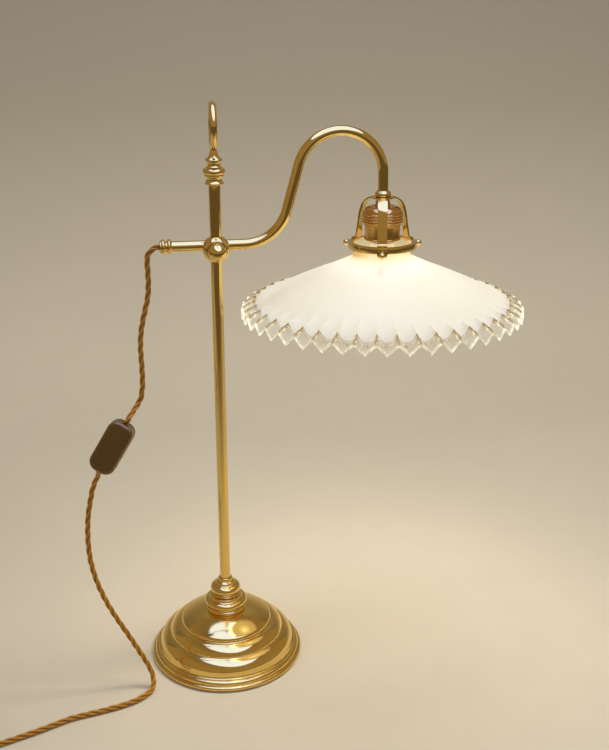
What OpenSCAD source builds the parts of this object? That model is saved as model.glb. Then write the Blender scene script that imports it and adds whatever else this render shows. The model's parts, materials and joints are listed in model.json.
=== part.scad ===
// Swing-arm desk lamp in polished brass: a weighted, stepped round base with a plain pole, a turned
// knuckle that slides and swings on the pole, a gooseneck arm with an open three-leg gallery,
// and a frilled opal glass shade. Twisted flex with an inline rocker switch leaves the arm's tail.
// Millimetres, +Z up, arm along +X, pole on the Z axis, foot on Z = 0.

/* [Base] */
// Diameter of the foot
base_d = 176; // [160:1:210]
// Height of the rounded foot bead
foot_h = 5.5; // [4:0.5:8]
// Height of the band above the foot bead
band_h = 5.5; // [4:0.5:8]
// Height of the ledge under the dome
ledge_h = 3.3; // [2:0.1:6]
// Top diameter of the first, domed tier
tier_1_d = 132; // [124:1:140]
// Height of the first tier
tier_1_h = 14.7; // [10:0.1:20]
// Height of the first step
step_1_h = 3; // [2:0.5:5]
// Top diameter of the second tier
tier_2_d = 104; // [90:1:112]
// Height of the second tier
tier_2_h = 8.5; // [6:0.5:12]
// Height of the beaded second step
step_2_h = 5.5; // [3:0.5:8]
// Height of the third tier, up to the neck
tier_3_h = 11; // [8:0.5:16]
// Thickness of the spun brass, at its thinnest
shell_t = 1.5; // [1:0.1:2.5]
// Thickness of the felt under the foot
felt_t = 2; // [1:0.5:3]

/* [Neck and pole] */
// Diameter of the neck's foot
neck_foot_d = 45; // [38:1:52]
// Diameter of the lower bulb of the neck
neck_low_d = 49; // [42:1:56]
// Diameter of the upper bulb of the neck
neck_up_d = 34.6; // [28:0.2:40]
// Height of the neck
neck_h = 40; // [32:1:50]
// Outside diameter of the pole
pole_d = 12; // [10:0.5:13]
// Wall of the pole
pole_t = 1.5; // [1:0.1:2.5]
// Height of the pole's top above the table
pole_top = 561; // [540:1:640]

/* [Finial] */
// Height of the turned finial, without its ring
finial_h = 36; // [30:1:45]
// Diameter of the finial's big bead
finial_d = 22.8; // [18:0.2:28]
// Outside diameter of the carrying ring
ring_d = 48; // [36:1:60]
// Diameter of the ring's round wire
ring_wire = 7.3; // [4:0.1:8]
// Turn of the ring about the pole, in degrees
ring_turn = -2; // [-90:1:90]

/* [Knuckle] */
// Height of the arm above the table
arm_z = 488.5; // [440:0.5:495]
// Diameter of the knuckle's ball
ball_d = 28.6; // [27:0.2:34]
// How far the ball's centre lies in front of the pole's axis
ball_front = 2; // [1:0.1:3]
// Wall of the split liner between pole and knuckle
liner_t = 0.95; // [0.7:0.05:1]
// Length of the split liner
liner_h = 22; // [16:1:22]
// Diameter of the ball on the clamp knob
knob_d = 19.6; // [14:0.2:24]
// Diameter of the clamp screw
clamp_screw_d = 6; // [4:1:6]

/* [Arm] */
// Outside diameter of the arm's tube
arm_d = 11; // [9:0.5:11]
// Bore of the arm's tube
arm_bore = 8; // [6.8:0.2:8.4]
// Length of tube behind the pole's axis
arm_tail = 47; // [30:1:70]
// Straight run in front of the pole's axis
arm_run = 31; // [25:1:60]
// Radius of the lower bend
bend_r = 46.5; // [30:0.5:70]
// Steepness of the riser, in degrees
riser_angle = 74.5; // [45:0.5:88]
// Length of the riser
riser = 49; // [20:1:90]
// Radius of the gooseneck
gooseneck_r = 45.4; // [30:0.1:60]
// Length of the straight drop above the gallery
drop = 24; // [16:1:50]
// How far the head leans out of plumb, in degrees
head_lean = 0.4; // [0:0.1:4]
// How far the arm's bends lean back round its straight run, in degrees
arm_roll = 2.2; // [0:0.1:4]
// Diameter of the tail cap
tail_d = 15.8; // [14:0.2:20]

/* [Gallery] */
// Diameter of the spider's top plate
plate_d = 23.6; // [20:0.2:30]
// Width of each leg
leg_w = 10.2; // [6:0.2:12]
// Thickness of the legs and of the plate
leg_t = 1.6; // [1:0.1:2]
// Height of the gallery's ring below the plate
gallery_drop = 47.5; // [46:0.5:60]
// Outside diameter of the gallery's ring
gallery_d = 73.5; // [70:0.5:76]
// Height of the gallery's ring
gallery_h = 6.8; // [5:0.1:9]
// Wall of the gallery's ring
gallery_t = 1.8; // [1.4:0.1:2.2]
// Diameter of the lugs that take the thumbscrews
lug_d = 10.9; // [8:0.1:13]
// Diameter of the thumbscrews
thumb_d = 4; // [3:0.5:4]
// Diameter of the thumbscrew heads
thumb_head_d = 7; // [5:0.5:9]
// Bearing of the front thumbscrew about the head's axis, in degrees
thumb_turn = -103; // [-180:1:180]

/* [Lampholder] */
// Diameter of the ribbed shade ring
holder_ring_d = 42.8; // [40:0.2:46]
// Diameter of the holder's skirt
holder_d = 39.2; // [37:0.2:39.6]
// Diameter of the lamp's screw cap
cap_d = 26.4; // [26:0.1:26.5]
// Diameter of the bulb
bulb_d = 45; // [40:1:50]

/* [Shade] */
// Diameter of the shade over its frill
shade_d = 304; // [280:2:330]
// Depth of the shade from its fitting lip to the frill
shade_h = 69.5; // [64:0.5:90]
// Thickness of the glass
glass_t = 2.6; // [2:0.1:4]
// Width of the clear frill, along the radius
frill_w = 13; // [8:0.5:18]
// Height of the frill's waves at the edge, from middle to crest
frill_wave = 5.9; // [2:0.1:7]
// Number of crimps in the frill
crimps = 40; // [30:1:50]

/* [Switch] */
// Length of the inline switch
switch_l = 60; // [52:1:70]
// Width of the switch
switch_w = 29; // [25:0.5:34]
// Thickness of the switch
switch_t = 19; // [16:0.5:22]
// Length of the rocker
rocker_l = 20.5; // [16:0.5:24]
// Width of the rocker
rocker_w = 12.4; // [9:0.2:14]

/* [Flex and plug] */
// Diameter of the twisted flex
flex_d = 6.2; // [5.6:0.1:6.4]
// Mean diameter of the stored coil
coil_d = 74; // [66:1:80]
// Turns side by side in the coil
coil_turns = 2; // [2:1:3]
// Diameter of the plug's face
plug_d = 37; // [34:0.5:40]
// Length of the plug's body
plug_l = 38; // [32:1:46]
// Diameter of the plug's pins
pin_d = 4.8; // [4:0.1:4.8]
// Length of the plug's pins
pin_l = 19; // [15:0.5:20]

/* [Clearances] */
// Running clearance between parts that turn or slide, on the radius
run_gap = 0.05; // [0.03:0.01:0.08]
// Gap between parts that lie near each other without a fit
free_gap = 0.3; // [0.2:0.05:0.4]

/* [Hidden] */
$fn = 64;

brass = "#c9a24a";
brass_dark = "#9a7430";
iron = "#4a4a4c";
flex_gold = "#b07a2c";

// Base: the height at which each tier ends
z_foot = 0.5;
z_band = z_foot + foot_h;
z_ledge = z_band + band_h;
z_dome = z_ledge + ledge_h;
z_step_1 = z_dome + tier_1_h;
z_tier_2 = z_step_1 + step_1_h;
z_step_2 = z_tier_2 + tier_2_h;
z_tier_3 = z_step_2 + step_2_h;
base_top = z_tier_3 + tier_3_h;
base_r = base_d / 2;
tier_1_r = tier_1_d / 2;
tier_2_r = tier_2_d / 2;
neck_top = base_top + neck_h;
pole_r = pole_d / 2;
nut_h = 6;
nut_af = 19;
washer_t = 2;
washer_d = 30;
recess_top = felt_t + nut_h + washer_t + 8;
weight_gap = 10;
weight_boss_r = 18;
pole_foot = felt_t + 3;

// Finial
finial_foot = 6;
finial_z = pole_top - finial_foot;
ring_sunk = 1.8;
ring_z = finial_z + finial_h + ring_d / 2 - ring_sunk;

// Knuckle
liner_r = pole_r + run_gap + liner_t;
knuckle_bore = liner_r + run_gap;
arm_r = arm_d / 2;
knuckle_wall = 0.9;
arm_y = knuckle_bore + knuckle_wall + run_gap + arm_r;
ball_r = ball_d / 2;
boss_r = arm_r + 4.1;
flat_y = ball_front + ball_r - 4.3;
pad_t = 2;
pad_y = liner_r + 2 * run_gap;
clamp_end = pad_y + pad_t + run_gap;
knob_gap = 0.3;
flange_t = 1.8;
flange_d = 22.4;
knob_y = flat_y + knob_gap + flange_t + 3.9;
knob_neck_r = 8.5;
set_screw_d = 4;

// Arm path in the plane of the arm, measured from the pole's axis
bend_end = [arm_run + bend_r * sin(riser_angle), bend_r * (1 - cos(riser_angle))];
riser_end = bend_end + riser * [cos(riser_angle), sin(riser_angle)];
neck_mid = riser_end + gooseneck_r * [sin(riser_angle), -cos(riser_angle)];
drop_start = neck_mid + gooseneck_r * [cos(head_lean), sin(head_lean)];
head_at = drop_start + drop * [sin(head_lean), -cos(head_lean)];
tube_into = 6;
tail_l = 12.5;
tail_lap = 2;

// Gallery and lampholder, measured down from the top of the spider's plate
collar_h = 6.5;
collar_d = 17.3;
gallery_r = gallery_d / 2;
flange_in = gallery_r - 5.2;
lug_z = -gallery_drop - gallery_h + 0.5;
thumb_bearings = [thumb_turn, thumb_turn + 120, thumb_turn + 240];
holder_r = holder_d / 2;
holder_lip = 1.8;
holder_lip_r = holder_r + 0.6;
stem_r = 7.65;
stem_end = -8.8;
ring_top = -16.3;
ring_end = -27.8;
skirt_end = -45.5;
skirt_t = 1.2;
insert_top = ring_top - holder_lip;
insert_h = 6;
shell_r = cap_d / 2 + free_gap;
shell_wall = 0.6;
cap_top = insert_top - insert_h - 2;
cap_end = skirt_end - 3;
bulb_mid = cap_end - 1.29 * bulb_d / 2;
bulb_wall = 0.8;

// Shade, measured down from the top of the spider's plate
lip_top = -gallery_drop - leg_t;
lip_t = 1.8;
lip_r = flange_in - 0.4;
neck_r = lip_r - 1.6;
neck_end = lip_top - 8.2;
shade_r = shade_d / 2;
frill_in = shade_r - frill_w;
shade_foot = lip_top - shade_h;
flute_w = 32;
columns = crimps * 4;

// Switch, on its own axes: length along Z, face towards -Y
switch_at = [-114.5, -12, 281];
switch_turn = [7.5, 32, -22];
cover_t = 11;
rocker_down = 5;
rocker_tilt = 8;
rocker_axis_y = -switch_t / 2 + 1.6;
rocker_pin_r = 0.8;
rocker_pin_l = rocker_w + 3;
cord_hole = flex_d + 2 * run_gap;
screw_head = [2.4, 1.2];

// Flex: points of its route, chosen by hand
flex_r = flex_d / 2;
arm_flex_r = flex_r + 0.1;
bush_r = arm_flex_r + 0.7;
tail_end = [-arm_tail - tail_l + tail_lap - free_gap, arm_y, arm_z];
switch_axis = [sin(switch_turn[1]) * cos(switch_turn[0]), sin(switch_turn[1]) * sin(switch_turn[0]),
               cos(switch_turn[1])];
function on_switch(z) = switch_at + z * switch_axis;
upper_route = concat([tail_end], [
    [-59, 13.5, 488.5], [-62, 13.5, 487.8], [-65.5, 13.5, 486], [-68.4, 13.4, 483.1], [-70.3, 13.2, 479.4],
    [-71, 12.9, 475.3], [-70.9, 12, 462], [-71, 11, 448], [-72.8, 9.5, 434], [-76.5, 7.5, 420],
    [-80, 5.5, 406], [-82.2, 3.5, 391], [-82.6, 1, 376], [-82.3, -1.5, 360], [-82.6, -4, 345],
    [-84.6, -6.4, 332], [-88.5, -8, 323.5]
], [on_switch(switch_l / 2 + 7), on_switch(switch_l / 2 + free_gap)]);
lower_route = concat([on_switch(3 - switch_l / 2), on_switch(-1 - switch_l / 2)], [
    [-136.2, -15.2, 244.5], [-141.5, -17, 233], [-145.3, -19.8, 219], [-148.6, -23, 203],
    [-150.3, -27, 187], [-150.6, -31, 170], [-149.5, -34.5, 153], [-146, -38, 135],
    [-140.5, -41, 117], [-133, -44, 99], [-124, -46.5, 81], [-114, -49, 63], [-104.5, -51.5, 45],
    [-96.5, -54, 30], [-90.8, -57.5, 18], [-88.6, -63, 9.3], [-89.8, -70, 4.4],
    [-93.6, -76.2, 3.1], [-98.6, -81.2, 3.1]
]);
floor_route = [
    [-98.85, -81.45, 3.1], [-100.2, -82.8, 3.1], [-108, -88.3, 3.1], [-122, -94.3, 3.1],
    [-136, -98.5, 3.1], [-150, -102, 3.1], [-164, -105, 3.1], [-178, -108.5, 3.1],
    [-191, -114, 3.1], [-204, -120, 3.1], [-217, -125.5, 3.1], [-230, -130.5, 3.1],
    [-243, -135.5, 3.1], [-256, -140, 3.1], [-270, -145, 3.1], [-284, -149.3, 3.1],
    [-297, -152.3, 3.4]
];
coil_at = [-308, -113];
coil_lift = 0.7;
coil_w = coil_turns * flex_d;
coil_h = 2 * flex_d;
plug_at = [-350, -48, 7.3];
plug_rear_d = 21;
guard_l = 8;
plug_lean = 20.5;
function behind_plug(d) = plug_at - d * [0, cos(plug_lean), sin(plug_lean)];
tail_route = concat([
    [-348.2, -107, 10], [-349, -98, 10], [-349.6, -88, 8.4], [-350, -78, 5.3], [-350, -69, 3.5],
    [-350, -60.5, 3.7]
], [behind_plug(5.5), behind_plug(free_gap)]);
tie_t = 0.6;
tie_w = 6;

// Points on an arc from p to q that stands s proud of the chord, to its right; p itself is left out
function arc(p, q, s, n = 8) =
    let (c = norm(q - p), r = (c * c / 4 + s * s) / (2 * abs(s)), u = (q - p) / c,
         v = sign(s) * [u[1], -u[0]], m = (p + q) / 2 - (r - abs(s)) * v, half = asin(c / 2 / r))
    [for (i = [1:n]) let (a = half * (2 * i / n - 1)) m + r * (cos(a) * v + sin(a) * u)];

// Outline of a strip of thickness t along a line of points
function side(p, t) = [for (i = [0:len(p) - 1])
    let (a = p[max(i - 1, 0)], b = p[min(i + 1, len(p) - 1)], u = (b - a) / norm(b - a))
    p[i] + t * [-u[1], u[0]]];
function strip(p, t) = concat(side(p, t / 2), [for (i = [len(p) - 1:-1:0]) side(p, -t / 2)[i]]);

// Faces of a closed tube of rings with k points each
function tube_faces(n, k) = concat(
    [[for (j = [0:k - 1]) j]],
    [for (i = [0:n - 2], j = [0:k - 1])
        let (a = i * k + j, b = i * k + (j + 1) % k) [b, a, a + k, b + k]],
    [[for (j = [k - 1:-1:0]) (n - 1) * k + j]]);

function unit(v) = v / norm(v);

// A round cord of radius r swept through the points p
module cord(p, r, k = 8) {
    n = len(p);
    tangents = [for (i = [0:n - 1]) unit(p[min(i + 1, n - 1)] - p[max(i - 1, 0)])];
    points = [for (i = [0:n - 1], j = [0:k - 1])
        let (t = tangents[i], a = unit(cross(t, abs(t[2]) > 0.7 ? [0, 1, 0] : [0, 0, 1])),
             b = cross(t, a), w = 360 * j / k + 22.5)
        p[i] + r * (cos(w) * a + sin(w) * b)];
    polyhedron(points, tube_faces(n, k), convexity = 6);
}

// A thin ring-shaped land that laps over the joint of two lengths of tube
module lap(r) { cylinder(r = r + 0.02, h = 0.4, center = true); }

// A rod or bore of radius r along the arm's centre line, from s0 before the pole to s1 past the plate
module arm_line(r, s0, s1) {
    translate([0, arm_y, arm_z]) rotate([-arm_roll, 0, 0]) {
        translate([-s0, 0, 0]) rotate([0, 90, 0]) cylinder(r = r, h = s0 + arm_run);
        translate([arm_run, 0, 0]) rotate([0, 90, 0]) lap(r);
        translate([arm_run, 0, bend_r]) rotate([90, 0, 0]) rotate([0, 0, -90])
            rotate_extrude(angle = riser_angle) translate([bend_r, 0]) circle(r = r);
        translate([bend_end[0], 0, bend_end[1]]) rotate([0, 90 - riser_angle, 0]) {
            cylinder(r = r, h = riser);
            lap(r);
            translate([0, 0, riser]) lap(r);
        }
        translate([neck_mid[0], 0, neck_mid[1]]) rotate([90, 0, 0]) rotate([0, 0, head_lean])
            rotate_extrude(angle = 90 + riser_angle - head_lean)
            translate([gooseneck_r, 0]) circle(r = r);
        translate([drop_start[0], 0, drop_start[1]]) rotate([0, 180 - head_lean, 0]) {
            cylinder(r = r, h = drop + s1);
            lap(r);
        }
    }
}

// Puts its children on the head's axis, with Z = 0 on top of the spider's plate
module at_head() {
    translate([0, arm_y, arm_z]) rotate([-arm_roll, 0, 0])
        translate([head_at[0], 0, head_at[1]]) rotate([0, -head_lean, 0]) children();
}

// Puts its children in the switch's own axes
module at_switch() {
    translate(switch_at) rotate([0, 0, switch_turn[0]]) rotate([0, switch_turn[1], 0])
        rotate([0, 0, switch_turn[2]]) children();
}

// Turned part from an outline of [radius, height] pairs
module turned(outline) { rotate_extrude($fn = 96) polygon(outline); }

// ---- Base ----

function base_outline() = concat(
    [[base_r - 2.2, z_foot]],
    arc([base_r - 2.2, z_foot], [base_r - 2.6, z_band - 0.2], 2.3),
    [[base_r - 3.6, z_band]],
    arc([base_r - 3.6, z_band], [base_r - 7.2, z_ledge - 0.6], 1.7),
    arc([base_r - 7.4, z_ledge - 0.6], [base_r - 8.6, z_ledge + 0.7], 0.6, 4),
    [[base_r - 9.2, z_ledge + 0.9], [base_r - 10, z_dome]],
    arc([base_r - 10, z_dome], [tier_1_r, z_step_1], 3.2, 12),
    [[tier_1_r - 0.5, z_step_1 + 0.3]],
    arc([tier_1_r - 0.5, z_step_1 + 0.3], [tier_1_r - 1, z_tier_2], 0.3, 3),
    arc([tier_1_r - 1, z_tier_2], [tier_2_r + 0.6, z_step_2], 1.8, 10),
    [[tier_2_r, z_step_2 + 0.4]],
    arc([tier_2_r, z_step_2 + 0.4], [tier_2_r - 1.4, z_tier_3], 0.9, 6),
    arc([tier_2_r - 1.4, z_tier_3], [neck_foot_d / 2 - 2, base_top], 1.6, 12));

// Hollow of the shell
hollow_r = base_r - 4.2 - shell_t;
base_hollow = [
    [hollow_r, z_foot - 1], [hollow_r, z_band], [base_r - 10 - shell_t, z_dome],
    [tier_1_r - shell_t, z_step_1 - 1.4], [tier_2_r - shell_t, z_step_2 - 1.5],
    [neck_foot_d / 2 - 2, base_top - 3]
];

module base_shell() {
    color(brass) difference() {
        turned(concat([[0, z_foot]], base_outline(), [[0, base_top]]));
        turned(concat([[0, z_foot - 1]], base_hollow, [[0, base_top - 3]]));
        translate([0, 0, base_top - 5]) cylinder(r = pole_r + run_gap, h = 6);
    }
}

module base_weight() {
    foot_r = hollow_r - weight_gap;
    color(iron) difference() {
        turned([[0, felt_t], [foot_r, felt_t], [foot_r, z_band], [tier_1_r - weight_gap, z_dome],
                [weight_boss_r + 6, z_dome + 5], [weight_boss_r, z_step_1 - 2],
                [weight_boss_r, base_top - 3], [0, base_top - 3]]);
        cylinder(r = pole_r + run_gap, h = base_top);
        translate([0, 0, felt_t - 1])
            cylinder(r = washer_d / 2 + free_gap, h = recess_top - felt_t + 1);
    }
}

module felt_pad() {
    color("#3b5a3a") cylinder(r = hollow_r - free_gap, h = felt_t, $fn = 96);
}

module pole_washer() {
    color(iron) translate([0, 0, recess_top - washer_t]) difference() {
        cylinder(r = washer_d / 2, h = washer_t);
        translate([0, 0, -1]) cylinder(r = pole_r + run_gap, h = washer_t + 2);
    }
}

module pole_nut() {
    color(iron) translate([0, 0, recess_top - washer_t - nut_h]) difference() {
        cylinder(d = nut_af / cos(30), h = nut_h, $fn = 6);
        translate([0, 0, -1]) cylinder(r = pole_r + run_gap, h = nut_h + 2);
    }
}

module base_neck() {
    foot_r = neck_foot_d / 2;
    low_r = neck_low_d / 2;
    up_r = neck_up_d / 2;
    z = function (f) base_top + f * neck_h;
    color(brass) difference() {
        turned(concat(
            [[0, base_top], [foot_r, base_top]],
            arc([foot_r, base_top], [foot_r, z(0.07)], 0.4, 4),
            arc([foot_r - 0.8, z(0.09)], [foot_r - 1.6, z(0.14)], -0.6, 5),
            arc([low_r - 2.4, z(0.14)], [low_r - 4.8, z(0.35)], 3.6, 12),
            arc([up_r + 1, z(0.36)], [up_r + 0.8, z(0.44)], 0.6, 5),
            arc([up_r - 1, z(0.45)], [up_r - 3.8, z(0.53)], -0.9, 6),
            arc([up_r - 2.2, z(0.53)], [up_r - 5, z(0.79)], 3.6, 12),
            arc([up_r - 6.7, z(0.8)], [up_r - 6.7, z(0.87)], 0.6, 5),
            arc([pole_r + 1.9, z(0.885)], [pole_r + 1.2, neck_top], 0.9, 6),
            [[0, neck_top]]));
        translate([0, 0, base_top - 1]) cylinder(r = pole_r + run_gap, h = neck_h + 2);
    }
}

module pole() {
    color(brass) translate([0, 0, pole_foot]) difference() {
        cylinder(r = pole_r, h = pole_top - pole_foot);
        translate([0, 0, -1]) cylinder(r = pole_r - pole_t, h = pole_top - pole_foot + 2);
    }
}

// ---- Finial ----

module finial() {
    bead_r = finial_d / 2;
    z = function (f) finial_z + f * finial_h;
    spigot_r = pole_r - pole_t - run_gap;
    color(brass) {
        difference() {
            turned(concat(
                [[0, finial_z], [bead_r - 2.4, finial_z]],
                arc([bead_r - 2.4, finial_z], [bead_r - 2.3, z(0.06)], 0.6, 5),
                arc([bead_r - 2.5, z(0.07)], [bead_r - 3, z(0.2)], -0.8, 6),
                arc([bead_r - 2.2, z(0.22)], [bead_r - 1.6, z(0.29)], 0.5, 4),
                arc([bead_r - 1, z(0.3)], [bead_r - 2.4, z(0.46)], 1.6, 8),
                arc([bead_r - 3.6, z(0.48)], [bead_r - 4.2, z(0.64)], -1.2, 8),
                arc([bead_r - 3, z(0.65)], [bead_r - 3, z(0.71)], 0.4, 4),
                arc([bead_r - 5.4, z(0.73)], [ring_wire / 2 - 0.4, z(1)], -0.4, 5),
                [[0, z(1)]]));
            translate([0, 0, finial_z - 1]) cylinder(r = pole_r + run_gap, h = finial_foot + 1);
            ring_shape();
        }
        translate([0, 0, pole_top - 12]) cylinder(r = spigot_r, h = 14);
    }
}

// The carrying ring, brazed into a saddle on the finial's tip
module ring_shape() {
    translate([0, 0, ring_z]) rotate([0, 0, 90 + ring_turn]) rotate([90, 0, 0])
        rotate_extrude($fn = 96) translate([ring_d / 2 - ring_wire / 2, 0]) circle(d = ring_wire);
}

module carry_ring() { color(brass) ring_shape(); }

// ---- Knuckle and clamp ----

module slide_liner() {
    color("#d8d2c0") translate([0, 0, arm_z - liner_h / 2]) difference() {
        cylinder(r = liner_r, h = liner_h);
        translate([0, 0, -1]) cylinder(r = pole_r + run_gap, h = liner_h + 2);
        translate([-0.75, 0, -1]) cube([1.5, liner_r + 1, liner_h + 2]);
    }
}

// Points on a ball's outline, from one angle above its equator to another
function ball(r, at, from, to, n) = [for (i = [0:n])
    let (a = from + (to - from) * i / n) [r * cos(a), at + r * sin(a)]];

// A ball in front of the pole that tapers to the boss on the arm, flat behind the clamp knob
module knuckle() {
    taper = asin((ball_r - boss_r) / (ball_front + arm_y));
    edge = asin((flat_y - ball_front) / ball_r);
    rear = boss_r - 0.5;
    color(brass) translate([0, 0, arm_z]) difference() {
        rotate([90, 0, 0]) turned(concat(
            [[0, -arm_y - rear], [boss_r * cos(asin(rear / boss_r)), -arm_y - rear]],
            ball(boss_r, -arm_y, -65, -taper, 8), ball(ball_r, ball_front, -taper, edge, 12),
            [[0, flat_y]]));
        translate([0, 0, -ball_r - 1]) cylinder(r = knuckle_bore, h = 2 * ball_r + 2);
        translate([-ball_r - 1, arm_y, 0]) rotate([0, 90, 0])
            cylinder(r = arm_r + run_gap, h = 2 * ball_r + 2);
        rotate([90, 0, 0]) cylinder(r = clamp_screw_d / 2 + run_gap, h = flat_y + 1);
        translate([0, arm_y, 0]) rotate([-90, 0, 0])
            cylinder(r = set_screw_d / 2 + run_gap, h = boss_r + 1);
    }
}

module arm_set_screw() {
    color(brass_dark) translate([0, arm_y + arm_r + run_gap, arm_z]) rotate([-90, 0, 0])
        difference() {
            cylinder(r = set_screw_d / 2, h = boss_r - arm_r - 0.6);
            translate([-set_screw_d, -0.4, boss_r - arm_r - 1.6]) cube([2 * set_screw_d, 0.8, 2]);
        }
}

module clamp_pad() {
    color("#b5793a") translate([0, -pad_y, arm_z]) rotate([90, 0, 0])
        cylinder(r = clamp_screw_d / 2, h = pad_t);
}

module clamp_knob() {
    r = knob_d / 2;
    f = flange_d / 2;
    y0 = flat_y + knob_gap;
    y1 = y0 + flange_t;
    start = asin((y1 + 0.7 - knob_y) / r);
    color(brass) translate([0, 0, arm_z]) rotate([90, 0, 0]) union() {
        translate([0, 0, clamp_end]) cylinder(r = clamp_screw_d / 2, h = y0 - clamp_end + 1);
        turned(concat([[0, y0], [f - 0.8, y0]], arc([f - 0.8, y0], [f - 0.8, y1], 0.8, 6),
                      [[knob_neck_r, y1], [knob_neck_r, y1 + 0.7]],
                      ball(r, knob_y, start, 90, 16)));
    }
}

// ---- Arm ----

module arm_tube() {
    color(brass) difference() {
        arm_line(arm_r, arm_tail, tube_into);
        arm_line(arm_bore / 2, arm_tail + 1, tube_into + 1);
    }
}

module arm_flex() {
    color(flex_gold) arm_line(arm_flex_r, arm_tail + tail_l - tail_lap, tube_into - 1);
}

module tail_cap() {
    r = tail_d / 2;
    color(brass) translate([-arm_tail - tail_l + tail_lap, arm_y, arm_z]) rotate([0, 90, 0])
        difference() {
            turned(concat(
                [[0, 0], [r - 1.8, 0]],
                arc([r - 1.8, 0], [r - 1.4, 1.6], 0.2, 4),
                arc([r - 1, 1.8], [r - 1, 5.6], 1, 8),
                arc([r - 1.9, 5.9], [r - 1.9, 7.9], -0.5, 6),
                arc([r - 1, 8.2], [r - 1, 11.6], 1, 8),
                [[arm_r + 0.9, 11.8], [arm_r + 0.7, tail_l], [0, tail_l]]));
            translate([0, 0, tail_l - tail_lap]) cylinder(r = arm_r + run_gap, h = tail_lap + 1);
            translate([0, 0, -1]) cylinder(r = bush_r + run_gap, h = tail_l + 2);
        }
}

module tail_bush() {
    color("#2c241c") translate([-arm_tail - tail_l + tail_lap, arm_y, arm_z]) rotate([0, 90, 0])
        difference() {
            cylinder(r = bush_r, h = tail_l - tail_lap);
            translate([0, 0, -1]) cylinder(r = arm_flex_r + run_gap, h = tail_l + 2);
        }
}

// ---- Gallery ----

module head_collar() {
    r = collar_d / 2;
    color(brass) at_head() difference() {
        turned(concat([[0, 0], [r - 1.6, 0]], arc([r - 1.6, 0], [r - 1.6, collar_h - 0.9], 1.6, 10),
                      [[arm_r + 0.8, collar_h], [0, collar_h]]));
        translate([0, 0, -1]) cylinder(r = arm_r + run_gap, h = collar_h + 2);
    }
}

// Middle line of a leg as [radius, height] pairs, from the plate down to the gallery's ring
function leg_line() = concat(
    [[plate_d / 2 - 4.8, -leg_t / 2], [plate_d / 2 - 1.2, -leg_t / 2]],
    arc([plate_d / 2 - 1.2, -leg_t / 2], [gallery_r - 13.4, -10.8], -2, 8),
    arc([gallery_r - 13.4, -10.8], [gallery_r - 9.8, -26.4], -0.5, 3),
    [[gallery_r - 7, -gallery_drop + 3.9]],
    arc([gallery_r - 7, -gallery_drop + 3.9], [gallery_r - 4.4, -gallery_drop + 0.9], 0.8, 4),
    [[gallery_r - 1.6, -gallery_drop + leg_t / 2]]);

module gallery_spider() {
    color(brass) at_head() difference() {
        union() {
            translate([0, 0, -leg_t]) cylinder(d = plate_d, h = leg_t);
            for (a = thumb_bearings) rotate([0, 0, a]) translate([0, leg_w / 2, 0])
                rotate([90, 0, 0]) linear_extrude(leg_w) polygon(strip(leg_line(), leg_t));
        }
        translate([0, 0, -leg_t - 1]) cylinder(r = arm_r + run_gap, h = leg_t + 2);
        translate([-gallery_d, -gallery_d, -gallery_drop - 5]) cube([2 * gallery_d, 2 * gallery_d, 5]);
    }
}

module gallery_ring() {
    lug_l = gallery_r - flange_in;
    color(brass) at_head() difference() {
        union() {
            translate([0, 0, -gallery_drop - gallery_h])
                cylinder(r = gallery_r, h = gallery_h, $fn = 96);
            for (a = thumb_bearings) rotate([0, 0, a]) translate([gallery_r - lug_l, 0, lug_z])
                rotate([0, 90, 0]) cylinder(d = lug_d, h = lug_l - 0.2);
        }
        translate([0, 0, -gallery_drop - gallery_h - lug_d]) {
            cylinder(r = gallery_r - gallery_t, h = gallery_h - leg_t + lug_d, $fn = 96);
            cylinder(r = flange_in, h = gallery_h + lug_d + 1, $fn = 96);
        }
        for (a = thumb_bearings) rotate([0, 0, a]) translate([flange_in - 1, 0, lug_z])
            rotate([0, 90, 0]) cylinder(r = thumb_d / 2 + run_gap, h = lug_l + 3);
    }
}

module thumbscrew(i) {
    r = thumb_head_d / 2;
    l = gallery_r + 5.5;
    q = thumb_d / 2 + 0.5;
    color(brass) at_head() rotate([0, 0, thumb_bearings[i]]) translate([0, 0, lug_z])
        rotate([0, 90, 0]) union() {
            translate([0, 0, neck_r + free_gap]) cylinder(d = thumb_d, h = l - neck_r - free_gap + 1);
            turned(concat([[0, l], [q, l], [q + 0.6, l + 0.3], [q + 0.6, l + 0.8]],
                          ball(r, l + 3.2, -42, 90, 10)));
        }
}
module thumbscrew_1() { thumbscrew(0); }
module thumbscrew_2() { thumbscrew(1); }
module thumbscrew_3() { thumbscrew(2); }

// ---- Lampholder and bulb ----

module holder_cap() {
    color(brass_dark) at_head() difference() {
        turned(concat(
            [[0, -leg_t], [0, ring_top - holder_lip], [holder_lip_r, ring_top - holder_lip],
             [holder_lip_r, ring_top]],
            arc([holder_lip_r, ring_top], [stem_r + 3, stem_end - 1.2], 2.4, 10),
            arc([stem_r + 3, stem_end - 1.2], [stem_r, stem_end + 1], -0.9, 5),
            [[stem_r, -leg_t]]));
        translate([0, 0, stem_end + 1]) cylinder(r = arm_r + run_gap, h = -stem_end);
        translate([0, 0, ring_top - 2]) cylinder(r = arm_bore / 2, h = 12);
    }
}

module holder_ring() {
    r = holder_ring_d / 2;
    pitch = (ring_top - ring_end) / 4;
    ribs = [for (i = [0:3]) each arc([r - 1.1, ring_end + i * pitch + 0.25],
                                     [r - 1.1, ring_end + (i + 1) * pitch - 0.25], 1.1, 8)];
    color(brass_dark) at_head() turned(concat(
        [[holder_r + run_gap, ring_end], [r - 1.1, ring_end]], ribs,
        [[holder_lip_r + run_gap, ring_top], [holder_lip_r + run_gap, ring_top - holder_lip],
         [holder_r + run_gap, ring_top - holder_lip]]));
}

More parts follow.
